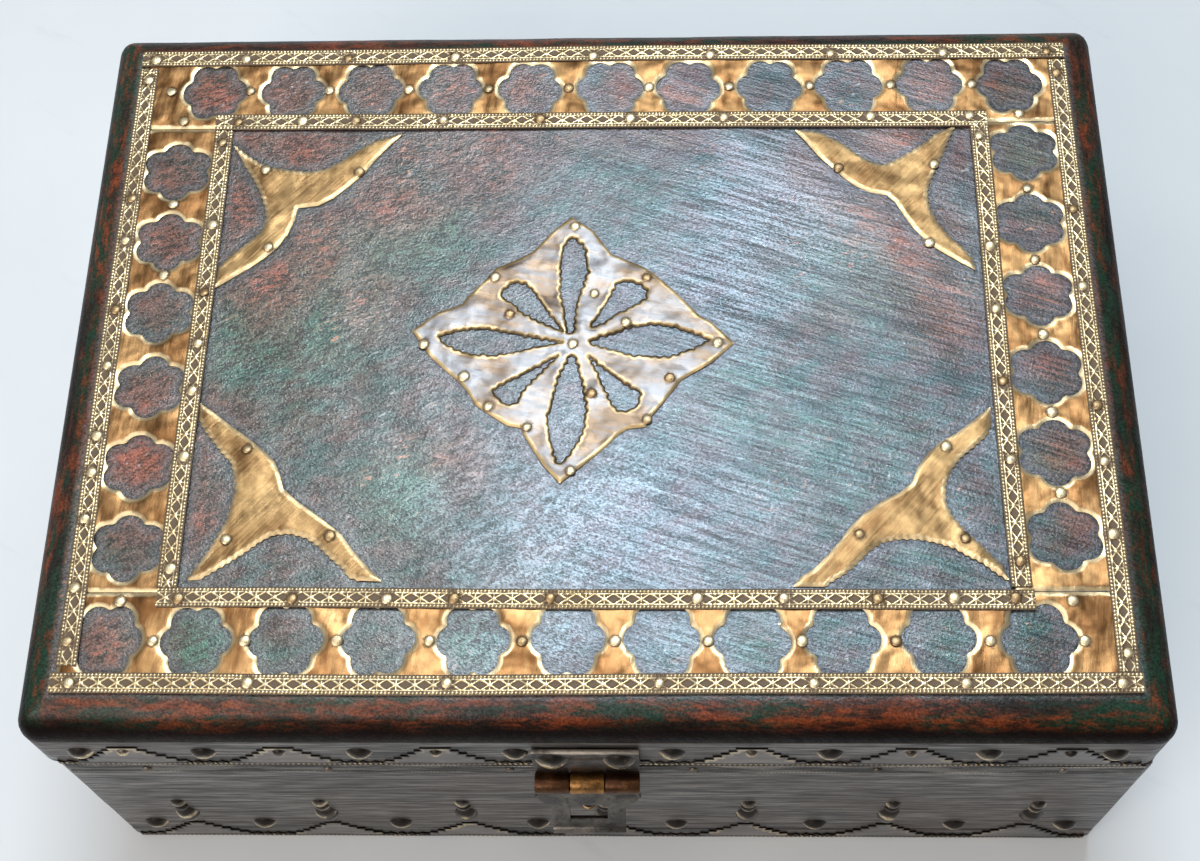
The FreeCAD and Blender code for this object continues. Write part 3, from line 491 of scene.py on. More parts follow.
def blackened_sheet(name, hem):
    """Brass sheet gone black-brown, near black along its cut edges as dirt and painted shade, with a beaded
    hem at a height in mm.
    """
    bead_pitch = 1.3 * mm
    sheet = Finish(name)
    cloud = sheet.grain(60)
    brushed = sheet.grain((60, 60, 500), detail=4)
    fine = sheet.grain(800, detail=3)
    edge = sheet.kept("edge")
    height = sheet.axis("Z")
    tone = sheet.blend(cloud.spread(0.38, 0.68), (0.13, 0.120, 0.112), (0.24, 0.215, 0.20))
    worn = edge.spread(0.5, 1.2, 1, 0) * cloud.spread(0.5, 0.6)
    tone = sheet.blend(worn, tone, (0.55, 0.45, 0.31))
    # near black at the cut edges: dirt, and painted shade standing for the shadows in the teeth
    tone = sheet.blend(edge.spread(0.1, 0.4, 1, 0), tone, (0.016, 0.012, 0.009))
    beads = sheet.sum("SINE", (sheet.axis("X") + sheet.axis("Y")) * (2 * math.pi / bead_pitch))
    beads = beads.spread(-0.3, 0.6) * cloud.spread(0.35, 0.6, 0.25, 1.0)
    hemmed = sheet.blend(beads, (0.020, 0.014, 0.010), (0.58, 0.42, 0.23))
    hemmed = sheet.blend(height.spread((hem + 1.3) * mm, (hem + 1.6) * mm), hemmed, (0.022, 0.016, 0.012))
    tone = sheet.blend(height.spread((hem + 2.2) * mm, (hem + 3.0) * mm, 1, 0), tone, hemmed)
    sheet.coat(tone, brushed.spread(0.3, 0.7, 0.3, 0.5), 0.8)
    sheet.dents(brushed, 0.05)
    sheet.dents(cloud, 0.3)
    sheet.dents(fine, 0.04)
    return sheet.material


skirt_foot = 0.6
skirt_sheet = blackened_sheet("blackened brass sheet, skirts", skirt_foot)
skirt_lengths = {"front": (271, 7), "back": (271, 7), "left": (204, 5), "right": (204, 5)}
for seed, (face, (length, count)) in enumerate(skirt_lengths.items()):
    outline = scalloped_outline(length, count, rim=3.0, height=15, low=skirt_foot, tip=5)
    skirt = cut_sheet(face + "_foot_skirt", [outline], step=0.5, thickness=0.6, roll=0.8, sink=0.25, wave=0.2,
                      seed=seed)
    stand(skirt, face, 0, base_x, base_y)
    dress(skirt, skirt_sheet, "base", "dark_sheet", "base_" + face + "_skirt")

# Bosses and buds of the skirts
# Pressed dome bosses with a nail soldered in, one in each scallop, and cast half-round buds over the
# points. Both are driven into the wood and blackened like the skirts, with painted shade on their tops
# and painted highlights along their lower edges and between the buds' rings.


def from_cad(node, name, worn=0.0):
    """A piece with the shape of a CAD node, merged, and with its edges worn by a width in mm."""
    piece = bpy.data.objects.new(name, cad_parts[node].data.copy())
    piece.data.name = name
    bpy.context.scene.collection.objects.link(piece)
    chosen(piece)
    bpy.ops.mesh.customdata_custom_splitnormals_clear()
    edit_whole()
    bpy.ops.mesh.remove_doubles(threshold=0.002 * mm)
    if worn:
        bpy.ops.mesh.dissolve_limited(angle_limit=math.radians(1))
    bpy.ops.object.mode_set(mode="OBJECT")
    if worn:
        shaped(piece, "BEVEL", width=worn * mm, segments=2, limit_method="ANGLE",
               angle_limit=math.radians(50))
    smooth(piece)
    return piece


def as_in_cad(node, name, material, body, slot, worn=0.0):
    """Dress a piece that keeps the shape of its CAD node."""
    dress(from_cad(node, name, worn), material, body, slot, node)


def heads_of(node, lift):
    """For each loose solid of a CAD node: the place a lift in mm below its outer end, and its way out."""
    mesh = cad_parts[node].data
    places = vertices_of(mesh)
    group = np.arange(len(places))
    keys = {}
    for index, place in enumerate(np.round(places, 3).tolist()):
        keys.setdefault(tuple(place), index)
    same = np.array([keys[tuple(place)] for place in np.round(places, 3).tolist()])

    def root(i):
        while group[i] != i:
            i = group[i]
        return i

    for edge in mesh.edges:
        first, last = root(same[edge.vertices[0]]), root(same[edge.vertices[1]])
        group[max(first, last)] = min(first, last)
    owners = np.array([root(same[i]) for i in range(len(places))])
    spots = []
    for owner in np.unique(owners):
        solid = places[owners == owner]
        size = solid.max(axis=0) - solid.min(axis=0)
        middle = (solid.max(axis=0) + solid.min(axis=0)) / 2
        axis = int(np.argmax(size))
        if axis == 2:
            out = (0, 0, 1)
        else:
            out = tuple(math.copysign(1, middle[axis]) if i == axis else 0 for i in range(3))
        tip = middle + np.array(out) * (size[axis] / 2 - lift)
        spots.append((tuple(tip), out))
    return spots


def keep_rise(piece, spots, radius):
    """Store how high each vertex stands on its boss, from -1 at the lower edge to 1, as the value "rise"."""
    places = vertices_of(piece.data)
    middles = np.array([spot for spot, out in spots])
    nearest = np.argmin(((places[:, None] - middles[None]) ** 2).sum(axis=2), axis=1)
    keep_value(piece.data, "rise", (places[:, 2] - middles[nearest, 2]) / radius)


def keep_bud_rise(piece):
    """The same for the buds: a value in bands, for painted shade in their rings and painted highlights
    between them.
    """
    height = vertices_of(piece.data)[:, 2]
    share = (height - height.min()) / (height.max() - height.min())
    keep_value(piece.data, "rise", 0.38 + 0.32 * np.sin(share * 6.28 * 4.2))


def boss_finish_with_painted_light():
    """Cast brass, blackened, its top painted darker as shade and its lower edge painted pale as a highlight.
    """
    boss = Finish("boss brass with painted shade and highlight")
    cloud = boss.grain(160)
    fine = boss.grain(900, detail=3)
    rise = boss.kept("rise").ragged(cloud, 0.35)
    # painted highlight: pale brass low on each boss; painted shade: dark higher up
    pale = boss.blend(fine.spread(0.4, 0.6), (0.80, 0.66, 0.44), (0.50, 0.38, 0.22))
    colour = boss.blend(rise.spread(0.0, 0.2), pale, (0.12, 0.098, 0.078))
    colour = boss.blend(rise.spread(0.25, 0.5), colour, (0.028, 0.022, 0.018))
    boss.coat(colour, fine.spread(0.3, 0.7, 0.28, 0.46), 0.9)
    boss.dents(cloud, 0.25)
    boss.dents(fine, 0.04)
    return boss.material


boss_brass_painted_light = boss_finish_with_painted_light()


def drive_bosses(node, name, radius, body):
    """Bosses with the shape of a CAD node, of a radius in mm."""
    studs = from_cad(node, name)
    keep_rise(studs, heads_of(node, 0), radius)
    dress(studs, boss_brass_painted_light, body, "dark_sheet", node)


drive_bosses("skirt_bosses", "foot_bosses", radius=3.2, body="base")
buds = from_cad("skirt_buds", "foot_buds")
keep_bud_rise(buds)
dress(buds, boss_brass_painted_light, "base", "dark_sheet", "skirt_buds")

# Edge ribbons
# Stamped strips of thin brass round the top of the base, with beaded edges and a plain middle, grown
# dark and torn through in places. Small dome nails hold them.


def stamped_strip(name, length, width, base, relief, seed, step=0.24, stars=True):
    """A stamped strip along x, centred, on z = 0: beaded edges and a row of stars, as the value "relief"."""
    piece = flat_grid(name, (length / step, width / step), (-length / 2, -width / 2), (length / 2, width / 2))
    mesh = piece.data
    places = vertices_of(mesh)
    pick = random.Random(seed)
    along = places[:, 0] + pick.uniform(0, 4)
    across = np.abs(places[:, 1])
    bead_line = width / 2 - 0.6
    bead = np.exp(-((across - bead_line) / 0.36) ** 2) * (0.62 + 0.38 * np.cos(along * 2 * math.pi / 0.95))
    field = bead_line - 0.75
    pitch = 4.5
    star = (along + pitch / 2) % pitch - pitch / 2
    slant = field / (0.46 * pitch)
    ray = np.abs(across - np.abs(star) * slant) / math.hypot(1, slant)
    ridge = np.exp(-(ray / 0.22) ** 2)
    bar = np.exp(-(star / 0.2) ** 2)
    spine = np.exp(-(across / 0.22) ** 2) * (np.abs(star) < 0.7)
    hem = 0.75 * np.exp(-((across - field - 0.1) / 0.2) ** 2)
    inner = np.where(across < field + 0.1, np.maximum(np.maximum(ridge, bar), spine), 0)
    height = np.maximum(np.maximum(bead, hem), 0.85 * inner) if stars else np.maximum(bead, 0.18)
    rubbed = 0.85 + 0.15 * waves(places[:, :2], 24, seed + 50)
    height = np.clip(height * rubbed, 0, 1)
    bend = 0.35 * np.sin(along / 61 + pick.uniform(0, 6)) + 0.15 * np.sin(along / 23 + pick.uniform(0, 6))
    places[:, 1] += bend
    lift = 0.10 * waves(np.stack([places[:, 0], np.zeros(len(places))], axis=1), 30, seed)
    places[:, 2] = base + relief * height + lift
    place_vertices(mesh, places)
    shaped(piece, "SOLIDIFY", thickness=base * mm, offset=-1)
    keep_value(mesh, "relief", np.tile(height, 2))
    smooth(piece, 80)
    return piece


def nail_darkening(finish, noise, reach, share):
    """Share of darkening round the nails of a sheet, from its value "nail": the distance to a nail, in mm."""
    # darker in a ring just round the rims of the nail heads
    return finish.kept("nail").ragged(noise, 0.5).spread(reach - 0.6, reach, share, 0)


def stamped_brass(name, low, high, worn, nailed, torn=False):
    """Stamped brass: dark in the hollows and round its nails, bright on the ridges, and torn if said."""
    brass = Finish(name)
    cloud = brass.grain(45)
    fine = brass.grain(700, detail=4)
    lit = brass.kept("relief").ragged(fine, 0.16)
    tone = brass.blend(cloud.spread(0.42, 0.68), high, worn)
    colour = brass.blend(lit.spread(0.22, 0.62), low, tone)
    if nailed:
        colour = brass.blend(nail_darkening(brass, fine, 2.6, 0.9), colour, low)
    if torn:
        tears = brass.grain((40, 40, 420), shift=5, rough=0.7)
        colour = brass.blend(tears.spread(0.44, 0.54), colour, (0.012, 0.010, 0.008))
    brass.coat(colour, lit.spread(0.2, 0.7, 0.6, 0.26), lit.spread(0.2, 0.6, 0.25, 0.95))
    brass.dents(fine, 0.04)
    return brass.material


dark_ribbon = stamped_brass("stamped brass, grown dark", (0.13, 0.118, 0.105), (0.62, 0.52, 0.40),
                            (0.32, 0.27, 0.22), nailed=False, torn=True)
edge_ribbon_height = 72.75
for seed, face in enumerate(skirt_lengths):
    strip = stamped_strip(face + "_edge_strip", skirt_lengths[face][0], width=7.0, base=0.25, relief=0.15,
                          seed=seed + 20, step=0.4, stars=False)
    strip.data.transform(Matrix.Translation((0, edge_ribbon_height * mm, 0)))
    stand(strip, face, 0, base_x, base_y)
    dress(strip, dark_ribbon, "base", "ribbon_brass", "base_" + face + "_ribbon")


def dome_heads(name, spots, radius, height, seed):
    """Domed nail heads at places in mm, each on a way out of the surface, no two quite alike."""
    pick = random.Random(seed)
    nothing_chosen()
    bpy.ops.mesh.primitive_uv_sphere_add(segments=12, ring_count=8, radius=1)
    pattern = bpy.context.object
    edit_whole()
    bpy.ops.mesh.bisect(plane_co=(0, 0, 0.0), plane_no=(0, 0, 1), clear_inner=True, use_fill=True)
    bpy.ops.object.mode_set(mode="OBJECT")
    heads = []
    for place, out in spots:
        head = bpy.data.objects.new(name, pattern.data.copy())
        bpy.context.scene.collection.objects.link(head)
        size = radius * pick.uniform(0.9, 1.08) * mm
        wide, tall = size * pick.uniform(0.94, 1.06), height * pick.uniform(0.85, 1.1) * mm
        shape = Matrix.Diagonal((wide, size, tall, 1))
        tilt = Matrix.Rotation(math.radians(pick.gauss(0, 5)), 4, "X")
        tilt = tilt @ Matrix.Rotation(pick.uniform(0, 6.28), 4, "Z")
        face_out = Vector(out).to_track_quat("Z", "Y").to_matrix().to_4x4()
        head.data.transform(Matrix.Translation(Vector(place) * mm) @ face_out @ tilt @ shape)
        heads.append(head)
    bpy.data.objects.remove(pattern)
    nothing_chosen()
    for head in heads:
        head.select_set(True)
    bpy.context.view_layer.objects.active = heads[0]
    bpy.ops.object.join()
    whole = named(name)
    smooth(whole, 60)
    return whole


def drive_nails(node, name, metal, body, slot, lift, radius, height, seed):
    """Domed nails for those of a CAD node, their heads seated a lift in mm below its heads' tops."""
    dress(dome_heads(name, heads_of(node, lift), radius, height, seed), metal, body, slot, node)


def nail_finish(name, bright, dull, share):
    """Domed nail heads: worn bright brass, some of them grown dark."""
    nail = Finish(name)
    which = nail.grain(37, detail=1, shift=2)
    fine = nail.grain(1100, detail=3)
    tone = nail.blend(which.spread(share, share + 0.05), bright, dull)
    tone = nail.blend(fine.spread(0.6, 0.74), tone, (0.12, 0.075, 0.035))
    nail.coat(tone, fine.spread(0.3, 0.7, 0.36, 0.52), 1.0)
    nail.dents(fine, 0.12)
    return nail.material


dark_nail = nail_finish("nail brass, grown dark", (0.16, 0.13, 0.10), (0.07, 0.058, 0.046), 0.5)
drive_nails("edge_ribbon_nails", "edge_strip_nails", dark_nail, "base", "nail_brass", lift=1.0, radius=1.3,
            height=0.8, seed=5)

# Back hinges, base side
# Two plain butt hinges of sheet iron: the base leaf with its two knuckles, the pin, and four nails
# each. They don't show in the photo, so they are kept plain.
for side in ("left", "right"):
    as_in_cad(side + "_hinge_base_leaf", side + "_hinge_lower_leaf", iron, "base", "iron", worn=0.2)
as_in_cad("hinge_pins", "hinge_wire_pins", iron, "base", "iron", worn=0.2)
drive_nails("hinge_base_nails", "hinge_lower_nails", iron, "base", "iron", lift=1.1, radius=1.6, height=1.1,
            seed=6)

# Staple
# A loop of brass wire with its legs driven through a small plate into the front wall; four nails hold
# the plate. The hasp's slot drops over the loop.


def worn_brass():
    """Brass handled bright, with brown in its pits."""
    brass = Finish("worn brass")
    cloud = brass.grain(120)
    fine = brass.grain(900, detail=4)
    tone = brass.blend(cloud.spread(0.38, 0.65), (0.46, 0.33, 0.18), (0.17, 0.105, 0.055))
    tone = brass.blend(fine.spread(0.58, 0.75), tone, (0.07, 0.045, 0.03))
    brass.coat(tone, fine.spread(0.3, 0.7, 0.22, 0.4), 1.0)
    brass.dents(fine, 0.05)
    brass.dents(cloud, 0.2)
    return brass.material


as_in_cad("staple", "staple_wire", worn_brass(), "base", "nail_brass")
as_in_cad("staple_plate", "staple_back_plate", skirt_sheet, "base", "dark_sheet", worn=0.2)
drive_nails("staple_nails", "staple_plate_nails", dark_nail, "base", "nail_brass", lift=1.1, radius=1.6,
            height=1.1, seed=7)

# Pierced strips of the lid, cut out first
# Four strips of soft brass sheet, each pierced with a row of six-lobed rosettes, pressed over the
# painted board between the two ribbon frames and nailed at the necks between the rosettes.
lid_x = -1.5
lid_z = 105.0
lid_half_x, lid_half_y = 140.0, 104.0
lid_nail_spots = heads_of("ornament_nails", 1.0)


def keep_nail_gap(piece):
    """Store each vertex's distance from the nearest nail of the lid, in mm, as the value "nail"."""
    places = vertices_of(piece.data)[:, :2]
    farthest = 6.0
    gap = np.full(len(places), farthest)
    for spot, out in lid_nail_spots:
        gap = np.minimum(gap, np.hypot(places[:, 0] - spot[0], places[:, 1] - spot[1]))
    keep_value(piece.data, "nail", gap)


def rosette(middle, turn, pick):
    """A hand-cut hole of six lobes round a place in mm, drawn out across its strip, under the ribbons."""
    offset = 5.35 * pick.uniform(0.97, 1.03)
    lobe = 3.75 * pick.uniform(0.96, 1.04)
    wide, tall = (1.06, 1.0) if turn else (1.0, 1.06)
    lean = math.radians(turn + pick.uniform(-4, 4))
    x, y = middle[0] + pick.uniform(-0.3, 0.3), middle[1] + pick.uniform(-0.3, 0.3)
    points = 66
    loop = []
    for i in range(points):
        angle = i * 2 * math.pi / points
        from_lobe = (angle + math.pi / 6) % (math.pi / 3) - math.pi / 6
        reach = offset * math.cos(from_lobe) + math.sqrt(lobe ** 2 - (offset * math.sin(from_lobe)) ** 2)
        reach *= 1 + 0.02 * math.sin(3 * angle + lean * 40)
        loop.append((x + wide * reach * math.cos(angle + lean), y + tall * reach * math.sin(angle + lean)))
    return loop


def strip_outline(low, high):
    """A rectangle between two corners."""
    return [(low[0], low[1]), (high[0], low[1]), (high[0], high[1]), (low[0], high[1])]


cutting = random.Random(3)
fret_loops = {
    "front": [strip_outline((-129.6, -94.2), (129.6, -69.1))]
    + [rosette((x, -81.4), 0, cutting)
       for x in (-118.7, -96.5, -74.7, -52.1, -29, -6, 16.7, 38.9, 60.4, 83.3, 107)],
    "back": [strip_outline((-129.6, 69.1), (129.6, 94.2))]
    + [rosette((-108.9 + 22.34 * i, 81.6), 0, cutting) for i in range(11)],
    "left": [strip_outline((-129.6, -68.9), (-102.8, 68.9))]
    + [rosette((-116.2, 54.9 - 22.4 * i), 30, cutting) for i in range(6)],
    "right": [strip_outline((102.8, -68.9), (129.6, 68.9))]
    + [rosette((116.2, 59.1 - 22.7 * i), 30, cutting) for i in range(6)],
}

# Corner plates, cut out
# Four three-armed plates of thicker brass, one in each corner of the painted field. The edges towards
# the corner are pinked with small teeth, the long edge towards the field is smooth.
plate_edges = {
    "back_left": (
        [(-101.5, 63.2), (-96.4, 58.9), (-92.3, 56.3), (-85.7, 54.8), (-80, 54.1), (-75.1, 54.9),
         (-71.1, 57.4), (-66.4, 61.2), (-61.6, 64.5), (-54.6, 66.6)],
        [(-59.3, 61.1), (-61.9, 57.7), (-64.4, 53.5), (-68.4, 49.4), (-72.3, 45.7), (-76.3, 43.3),
         (-81.9, 42.5), (-82.3, 38.8), (-84, 33.9), (-86.4, 29.9), (-89.6, 26.7), (-93.4, 23.6),
         (-97.9, 20.4)],
        [(-102.4, 17.3), (-101.7, 23.6), (-98.6, 27.6), (-94.2, 31.6), (-91, 34.8), (-90, 38.9),
         (-90.7, 43), (-92.6, 48), (-94.7, 52.2), (-98, 57.3)],
    ),
    "front_left": (
        [(-100.3, -65.9), (-98, -61.9), (-95.9, -58.5), (-93.6, -53.8), (-92, -49.9), (-91.1, -45.1),
         (-90.6, -41.6), (-91.3, -37.1), (-92.4, -33.6), (-95.2, -30.9), (-98, -27.2), (-100.3, -24.5),
         (-102.3, -20.8)],
        [(-102.6, -16.7), (-99.3, -19), (-93.9, -23.2), (-89, -26.8), (-84.1, -30.9), (-81.6, -33.4),
         (-79.8, -37.2), (-78.5, -41.2), (-74.7, -44.7), (-70.4, -47.8), (-65.8, -51.3), (-62.8, -53.8),
         (-59.7, -58.1), (-56.6, -61.5), (-52, -66.2)],
        [(-57.1, -66), (-60.4, -64.9), (-61.7, -62.8), (-65.1, -59.8), (-68.6, -56.4), (-71.9, -54.3),
         (-76, -53.2), (-80, -53.6), (-83.4, -55.5), (-86.4, -58.1), (-89.4, -60.2), (-93.1, -62.7),
         (-97.6, -65.7)],
    ),
    "front_right": (
        [(101.4, -66.1), (98.4, -63.9), (95.5, -61.4), (92, -59.5), (89, -57.5), (84.6, -56),
         (80.1, -55.1), (75.6, -55), (71, -56), (67.6, -58.5), (64.8, -61.4), (61.5, -64.3),
         (58.2, -66.2), (56.4, -67.7)],
        [(48.9, -67.7), (50.6, -65.3), (53.8, -63.3), (57.2, -59.9), (61, -55.5), (63.4, -52.1),
         (66.8, -48.6), (71.6, -45.1), (76.3, -42.6), (79.5, -40.1), (81.4, -35.5), (84, -31.9),
         (87.4, -28.8), (91.8, -26.2), (96.3, -22.6), (100.8, -18.9)],
        [(100.6, -23.6), (99.2, -26.8), (95.7, -29.9), (92.2, -32.9), (89.4, -36.5), (87.7, -40.6),
         (87.4, -45.6), (88.7, -49.1), (91.6, -53.1), (95, -56.6), (97.8, -60), (100.3, -62.9)],
    ),
    "back_right": (
        [(98.2, 67.9), (95.7, 62.2), (93.8, 57.8), (91.9, 53.4), (90.1, 49.7), (89, 45.4), (89.5, 40.5),
         (91.2, 36.3), (94, 32), (97.3, 28.4), (99.8, 24.8)],
        [(100.3, 21.6), (96.9, 23.7), (93.5, 26.1), (90.2, 28.5), (87.3, 31.5), (84.5, 35.1),
         (82.2, 39.4), (80.4, 43), (78.4, 45.2), (73.9, 46.2), (70.3, 48.1), (67.3, 50.6), (63.9, 54.3),
         (60.4, 58.1), (56.9, 63.2), (53.9, 67.1)],
        [(58.1, 66.4), (61.8, 65.4), (66.4, 62.5), (69.9, 59.3), (72.9, 56.8), (75.9, 55.2), (79, 55.1),
         (82.8, 57.3), (86.6, 59.8), (89.9, 62.3), (93.3, 65.4)],
    ),
}
plate_loops = {}
for corner, (first, smooth_edge, last) in plate_edges.items():
    first, last = (pinked(edge, pitch=1.9, depth=0.45) for edge in (first, last))
    plate_loops[corner] = np.concatenate([first, smooth_edge, last])

# Medallion, cut out
# One large pierced plate of brass in the middle of the lid: four points, with four leaves and four
# clubs cut out of it, their edges pinked.
medallion_outline = [
    (-7, 39.1), (-0.9, 34.5), (3.7, 27.4), (12.4, 23.2), (15.3, 21.1), (19.5, 16.9), (27, 8.4), (30.5, 6),
    (36.1, 0), (30.3, -5.6), (22.2, -10.8), (21, -12.7), (14.6, -21), (12.9, -24.2), (8.4, -24.8),
    (6.4, -26.1), (1.6, -31.1), (-8.7, -39.9), (-13.1, -34.8), (-17.8, -27.2), (-19, -24.4), (-22.5, -23.7),
    (-27.2, -20.5), (-31.1, -17.6), (-33.2, -13.7), (-35.1, -11.4), (-39.3, -7.5), (-43.6, -3.2),
    (-48.4, 4.2), (-42.2, 9.5), (-35.5, 12.2), (-34.4, 14.2), (-29.3, 20), (-27, 23.1), (-21.1, 25.9),
    (-17, 28.3), (-11.7, 34.9)]
medallion_holes = [
    [(-6.9, 32.4), (-4.1, 29.9), (-3.2, 25.7), (-2.8, 22.3), (-3.7, 19.5), (-4.5, 16.1), (-5.3, 12.7),
     (-6.1, 7.9), (-6.4, 3.3), (-7.2, 3.3), (-7.9, 8), (-8.6, 12.7), (-9.3, 16.1), (-9, 20.9),
     (-9.4, 24.4), (-8.9, 28.6), (-8, 30.7)],
    [(-1.6, 0.6), (4.2, 2.5), (10, 4.8), (14.7, 5.5), (20, 4.8), (24.1, 3.4), (27.5, 1.7), (29, 1),
     (26.9, -0.3), (23.4, -1.9), (18.8, -3.5), (14.1, -3.5), (8.3, -2.8), (3, -1.1)],
    [(-6.1, -3.4), (-4.7, -8), (-3.5, -13.9), (-2.8, -19), (-3.3, -24.8), (-5.2, -29.2), (-7.2, -32.3),
     (-8.8, -34.5), (-10, -31), (-11.3, -27.2), (-11.8, -22.2), (-10.9, -17.1), (-9.3, -10.6), (-7.4, -6)],
    [(-8.9, 0.5), (-13.9, 1.6), (-18.7, 2.7), (-23.4, 3.7), (-28.1, 4.7), (-32.3, 4.8), (-36.4, 4.1),
     (-39.8, 3.1), (-41.6, 2.5), (-39.7, 0.1), (-36.1, -1.9), (-31.3, -3.2), (-26.7, -3.5), (-22, -2.6),
     (-16.2, -1)],
    [(-1.1, 5.2), (1.2, 9.2), (3.5, 13.3), (5.3, 16.7), (6.1, 18.4), (8.2, 18.7), (11.2, 17.7), (13, 16),
     (12.7, 13.9), (10, 11.9), (5.3, 9.2), (1.8, 6.5)],
    [(-9, 3.9), (-11.1, 7.3), (-13.6, 10.7), (-16, 14.8), (-18.5, 18.2), (-20.9, 18.8), (-23.6, 17.9),
     (-25.3, 15.5), (-24.9, 13.8), (-21.9, 12.1), (-20, 9.4), (-16.4, 7.3), (-12.3, 5.3)],
    [(-10, -3.4), (-13.2, -5.3), (-17.2, -7.9), (-21.8, -10.5), (-25.8, -12.8), (-26.6, -13.7),
     (-25, -16.3), (-22.7, -17.8), (-20.4, -17.3), (-18.8, -13.8), (-16.5, -11.2), (-13.7, -7.9),
     (-10.9, -4.7)],
    [(-1.9, -3.7), (0.2, -8), (2, -12.6), (3.8, -17.1), (5.5, -19.4), (7.8, -19.7), (10.6, -18.4),
     (11.8, -15.2), (11.2, -13.9), (7.2, -11.3), (3.1, -8), (0.2, -5.4)],
]
medallion_loops = [medallion_outline]
for hole in medallion_holes:
    medallion_loops.append(pinked(hole + hole[:1], pitch=2.2, depth=0.45, unlike=0.8)[:-1])

# Lid board
# One wide board under the brass, its upper edge rounded over by hand. It was painted red and green in
# patches, then darkened with wax, and the paint is worn through along the brush strokes.


def lid_board():
    """The lid's top board: a fine grid on top, rolled over at the edge, closed below."""
    half = np.array((lid_half_x, lid_half_y))
    radius = 9.0
    corner = 5.0
    straight_foot = 0.9
    grid_step = 1.0
    turns = [radius * (1 - math.cos(math.radians(a))) for a in range(0, 90, 10)]
    lines = []
    for reach in half:
        inner = reach - radius
        flat = np.linspace(-inner, inner, int(2 * inner / grid_step))
        lines.append(np.concatenate([[t - reach for t in turns], flat, [reach - t for t in reversed(turns)]]))
    across, deep = lines
    piece = flat_grid("painted_lid_board", (len(across) - 1, len(deep) - 1), (-0.5, -0.5), (0.5, 0.5))
    mesh = piece.data
    places = vertices_of(mesh)
    column = np.rint((places[:, 0] + 0.5) * (len(across) - 1)).astype(int)
    row = np.rint((places[:, 1] + 0.5) * (len(deep) - 1)).astype(int)
    places[:, 0] = across[column]
    places[:, 1] = deep[row]
    inner = half - corner
    beyond = np.maximum(np.abs(places[:, :2]) - inner, 0)
    away = np.linalg.norm(beyond, axis=1)
    too_far = away > corner
    pull = np.where(too_far, corner / np.maximum(away, 1e-9), 1)[:, None]
    sides = np.sign(places[:, :2])
    clipped = sides * (np.minimum(np.abs(places[:, :2]), inner) + beyond * pull)
    places[:, :2] = clipped
    beyond = np.maximum(np.abs(clipped) - inner, 0)
    in_corner = np.all(beyond > 0, axis=1)
    straight = np.min(half - np.abs(clipped), axis=1)
    inset = np.where(in_corner, corner - np.linalg.norm(beyond, axis=1), straight)
    fall = np.clip(radius - inset, 0, radius)
    places[:, 2] = lid_z - radius + np.sqrt(np.maximum(radius ** 2 - fall ** 2, 0))
    rough = waves(places[:, :2], 31, 71) * 0.2 + waves(places[:, :2], 11, 72) * 0.06
    places[:, 2] += np.where(inset > 0.01, rough * np.clip(inset / 3, 0, 1), 0)
    farthest = 4.0
    gap = np.full(len(places), farthest)
    for loops in list(fret_loops.values()) + [[loop] for loop in plate_loops.values()] + [medallion_loops]:
        gap = np.minimum(gap, np.abs(edge_gap(places[:, :2], loops)))
    place_vertices(mesh, places + np.array((lid_x, 0, 0)))
    edit_open_edge()
    bpy.ops.mesh.extrude_region_move(TRANSFORM_OT_translate={"value": (0, 0, -straight_foot * mm)})
    bpy.ops.mesh.edge_face_add()
    bpy.ops.object.mode_set(mode="OBJECT")
    below = np.full(len(mesh.vertices) - len(gap), farthest)
    keep_value(mesh, "brass_gap", np.concatenate([gap, below]))
    smooth(piece, 50)
    return piece


def patches(paint, spots, wobble):
    """Soft round patches about places (x, y, radius) on the lid, in mm: 1 in their middles, broken up."""
    share = None
    for x, y, radius in spots:
        swing = 0.6 * radius * mm
        off = paint.away((1, 1, 0), (x + lid_x, y, 0)) + wobble.spread(0.25, 0.75, -swing, swing)
        patch = off.spread(0.1 * radius * mm, 1.3 * radius * mm, 1, 0)
        share = paint.sum("MAXIMUM", share, patch) if share else patch
    return share


green_spots = [
    (-73, 3, 26), (-88, -2, 18), (-46, 32, 17), (11, 47, 22), (35, -14, 26), (56, -28, 26), (16, -22, 18),
    (68, 20, 26), (-46, -41, 16), (70, -44, 22), (-92, -84, 18), (-28, -84, 24), (40, -84, 34), (88, -84, 20),
    (118, -40, 18), (118, 58, 16), (-130, 84, 22), (-136, -40, 16), (138, -90, 20)]
red_spots = [
    (-88, 18, 14), (-74, 30, 17), (-58, 42, 16), (-62, 13, 11), (68, 40, 26), (84, 32, 18), (93, 13, 14),
    (-36, -34, 9), (-98, -48, 12), (-98, 42, 14), (-80, 60, 14), (84, 62, 14), (-96, -50, 9), (-118, 30, 26),
    (-118, -30, 26), (-118, -82, 14), (-100, 82, 26), (-40, 82, 34), (20, 82, 20), (96, 82, 26),
    (118, 20, 24), (138, 40, 24), (138, -20, 18), (121, -28, 12), (114, -6, 8), (124, -48, 9)]
sheen_and_bloom_spots = [(4, -57, 36), (44, 42, 24), (34, 16, 18), (-10, -82, 16)]


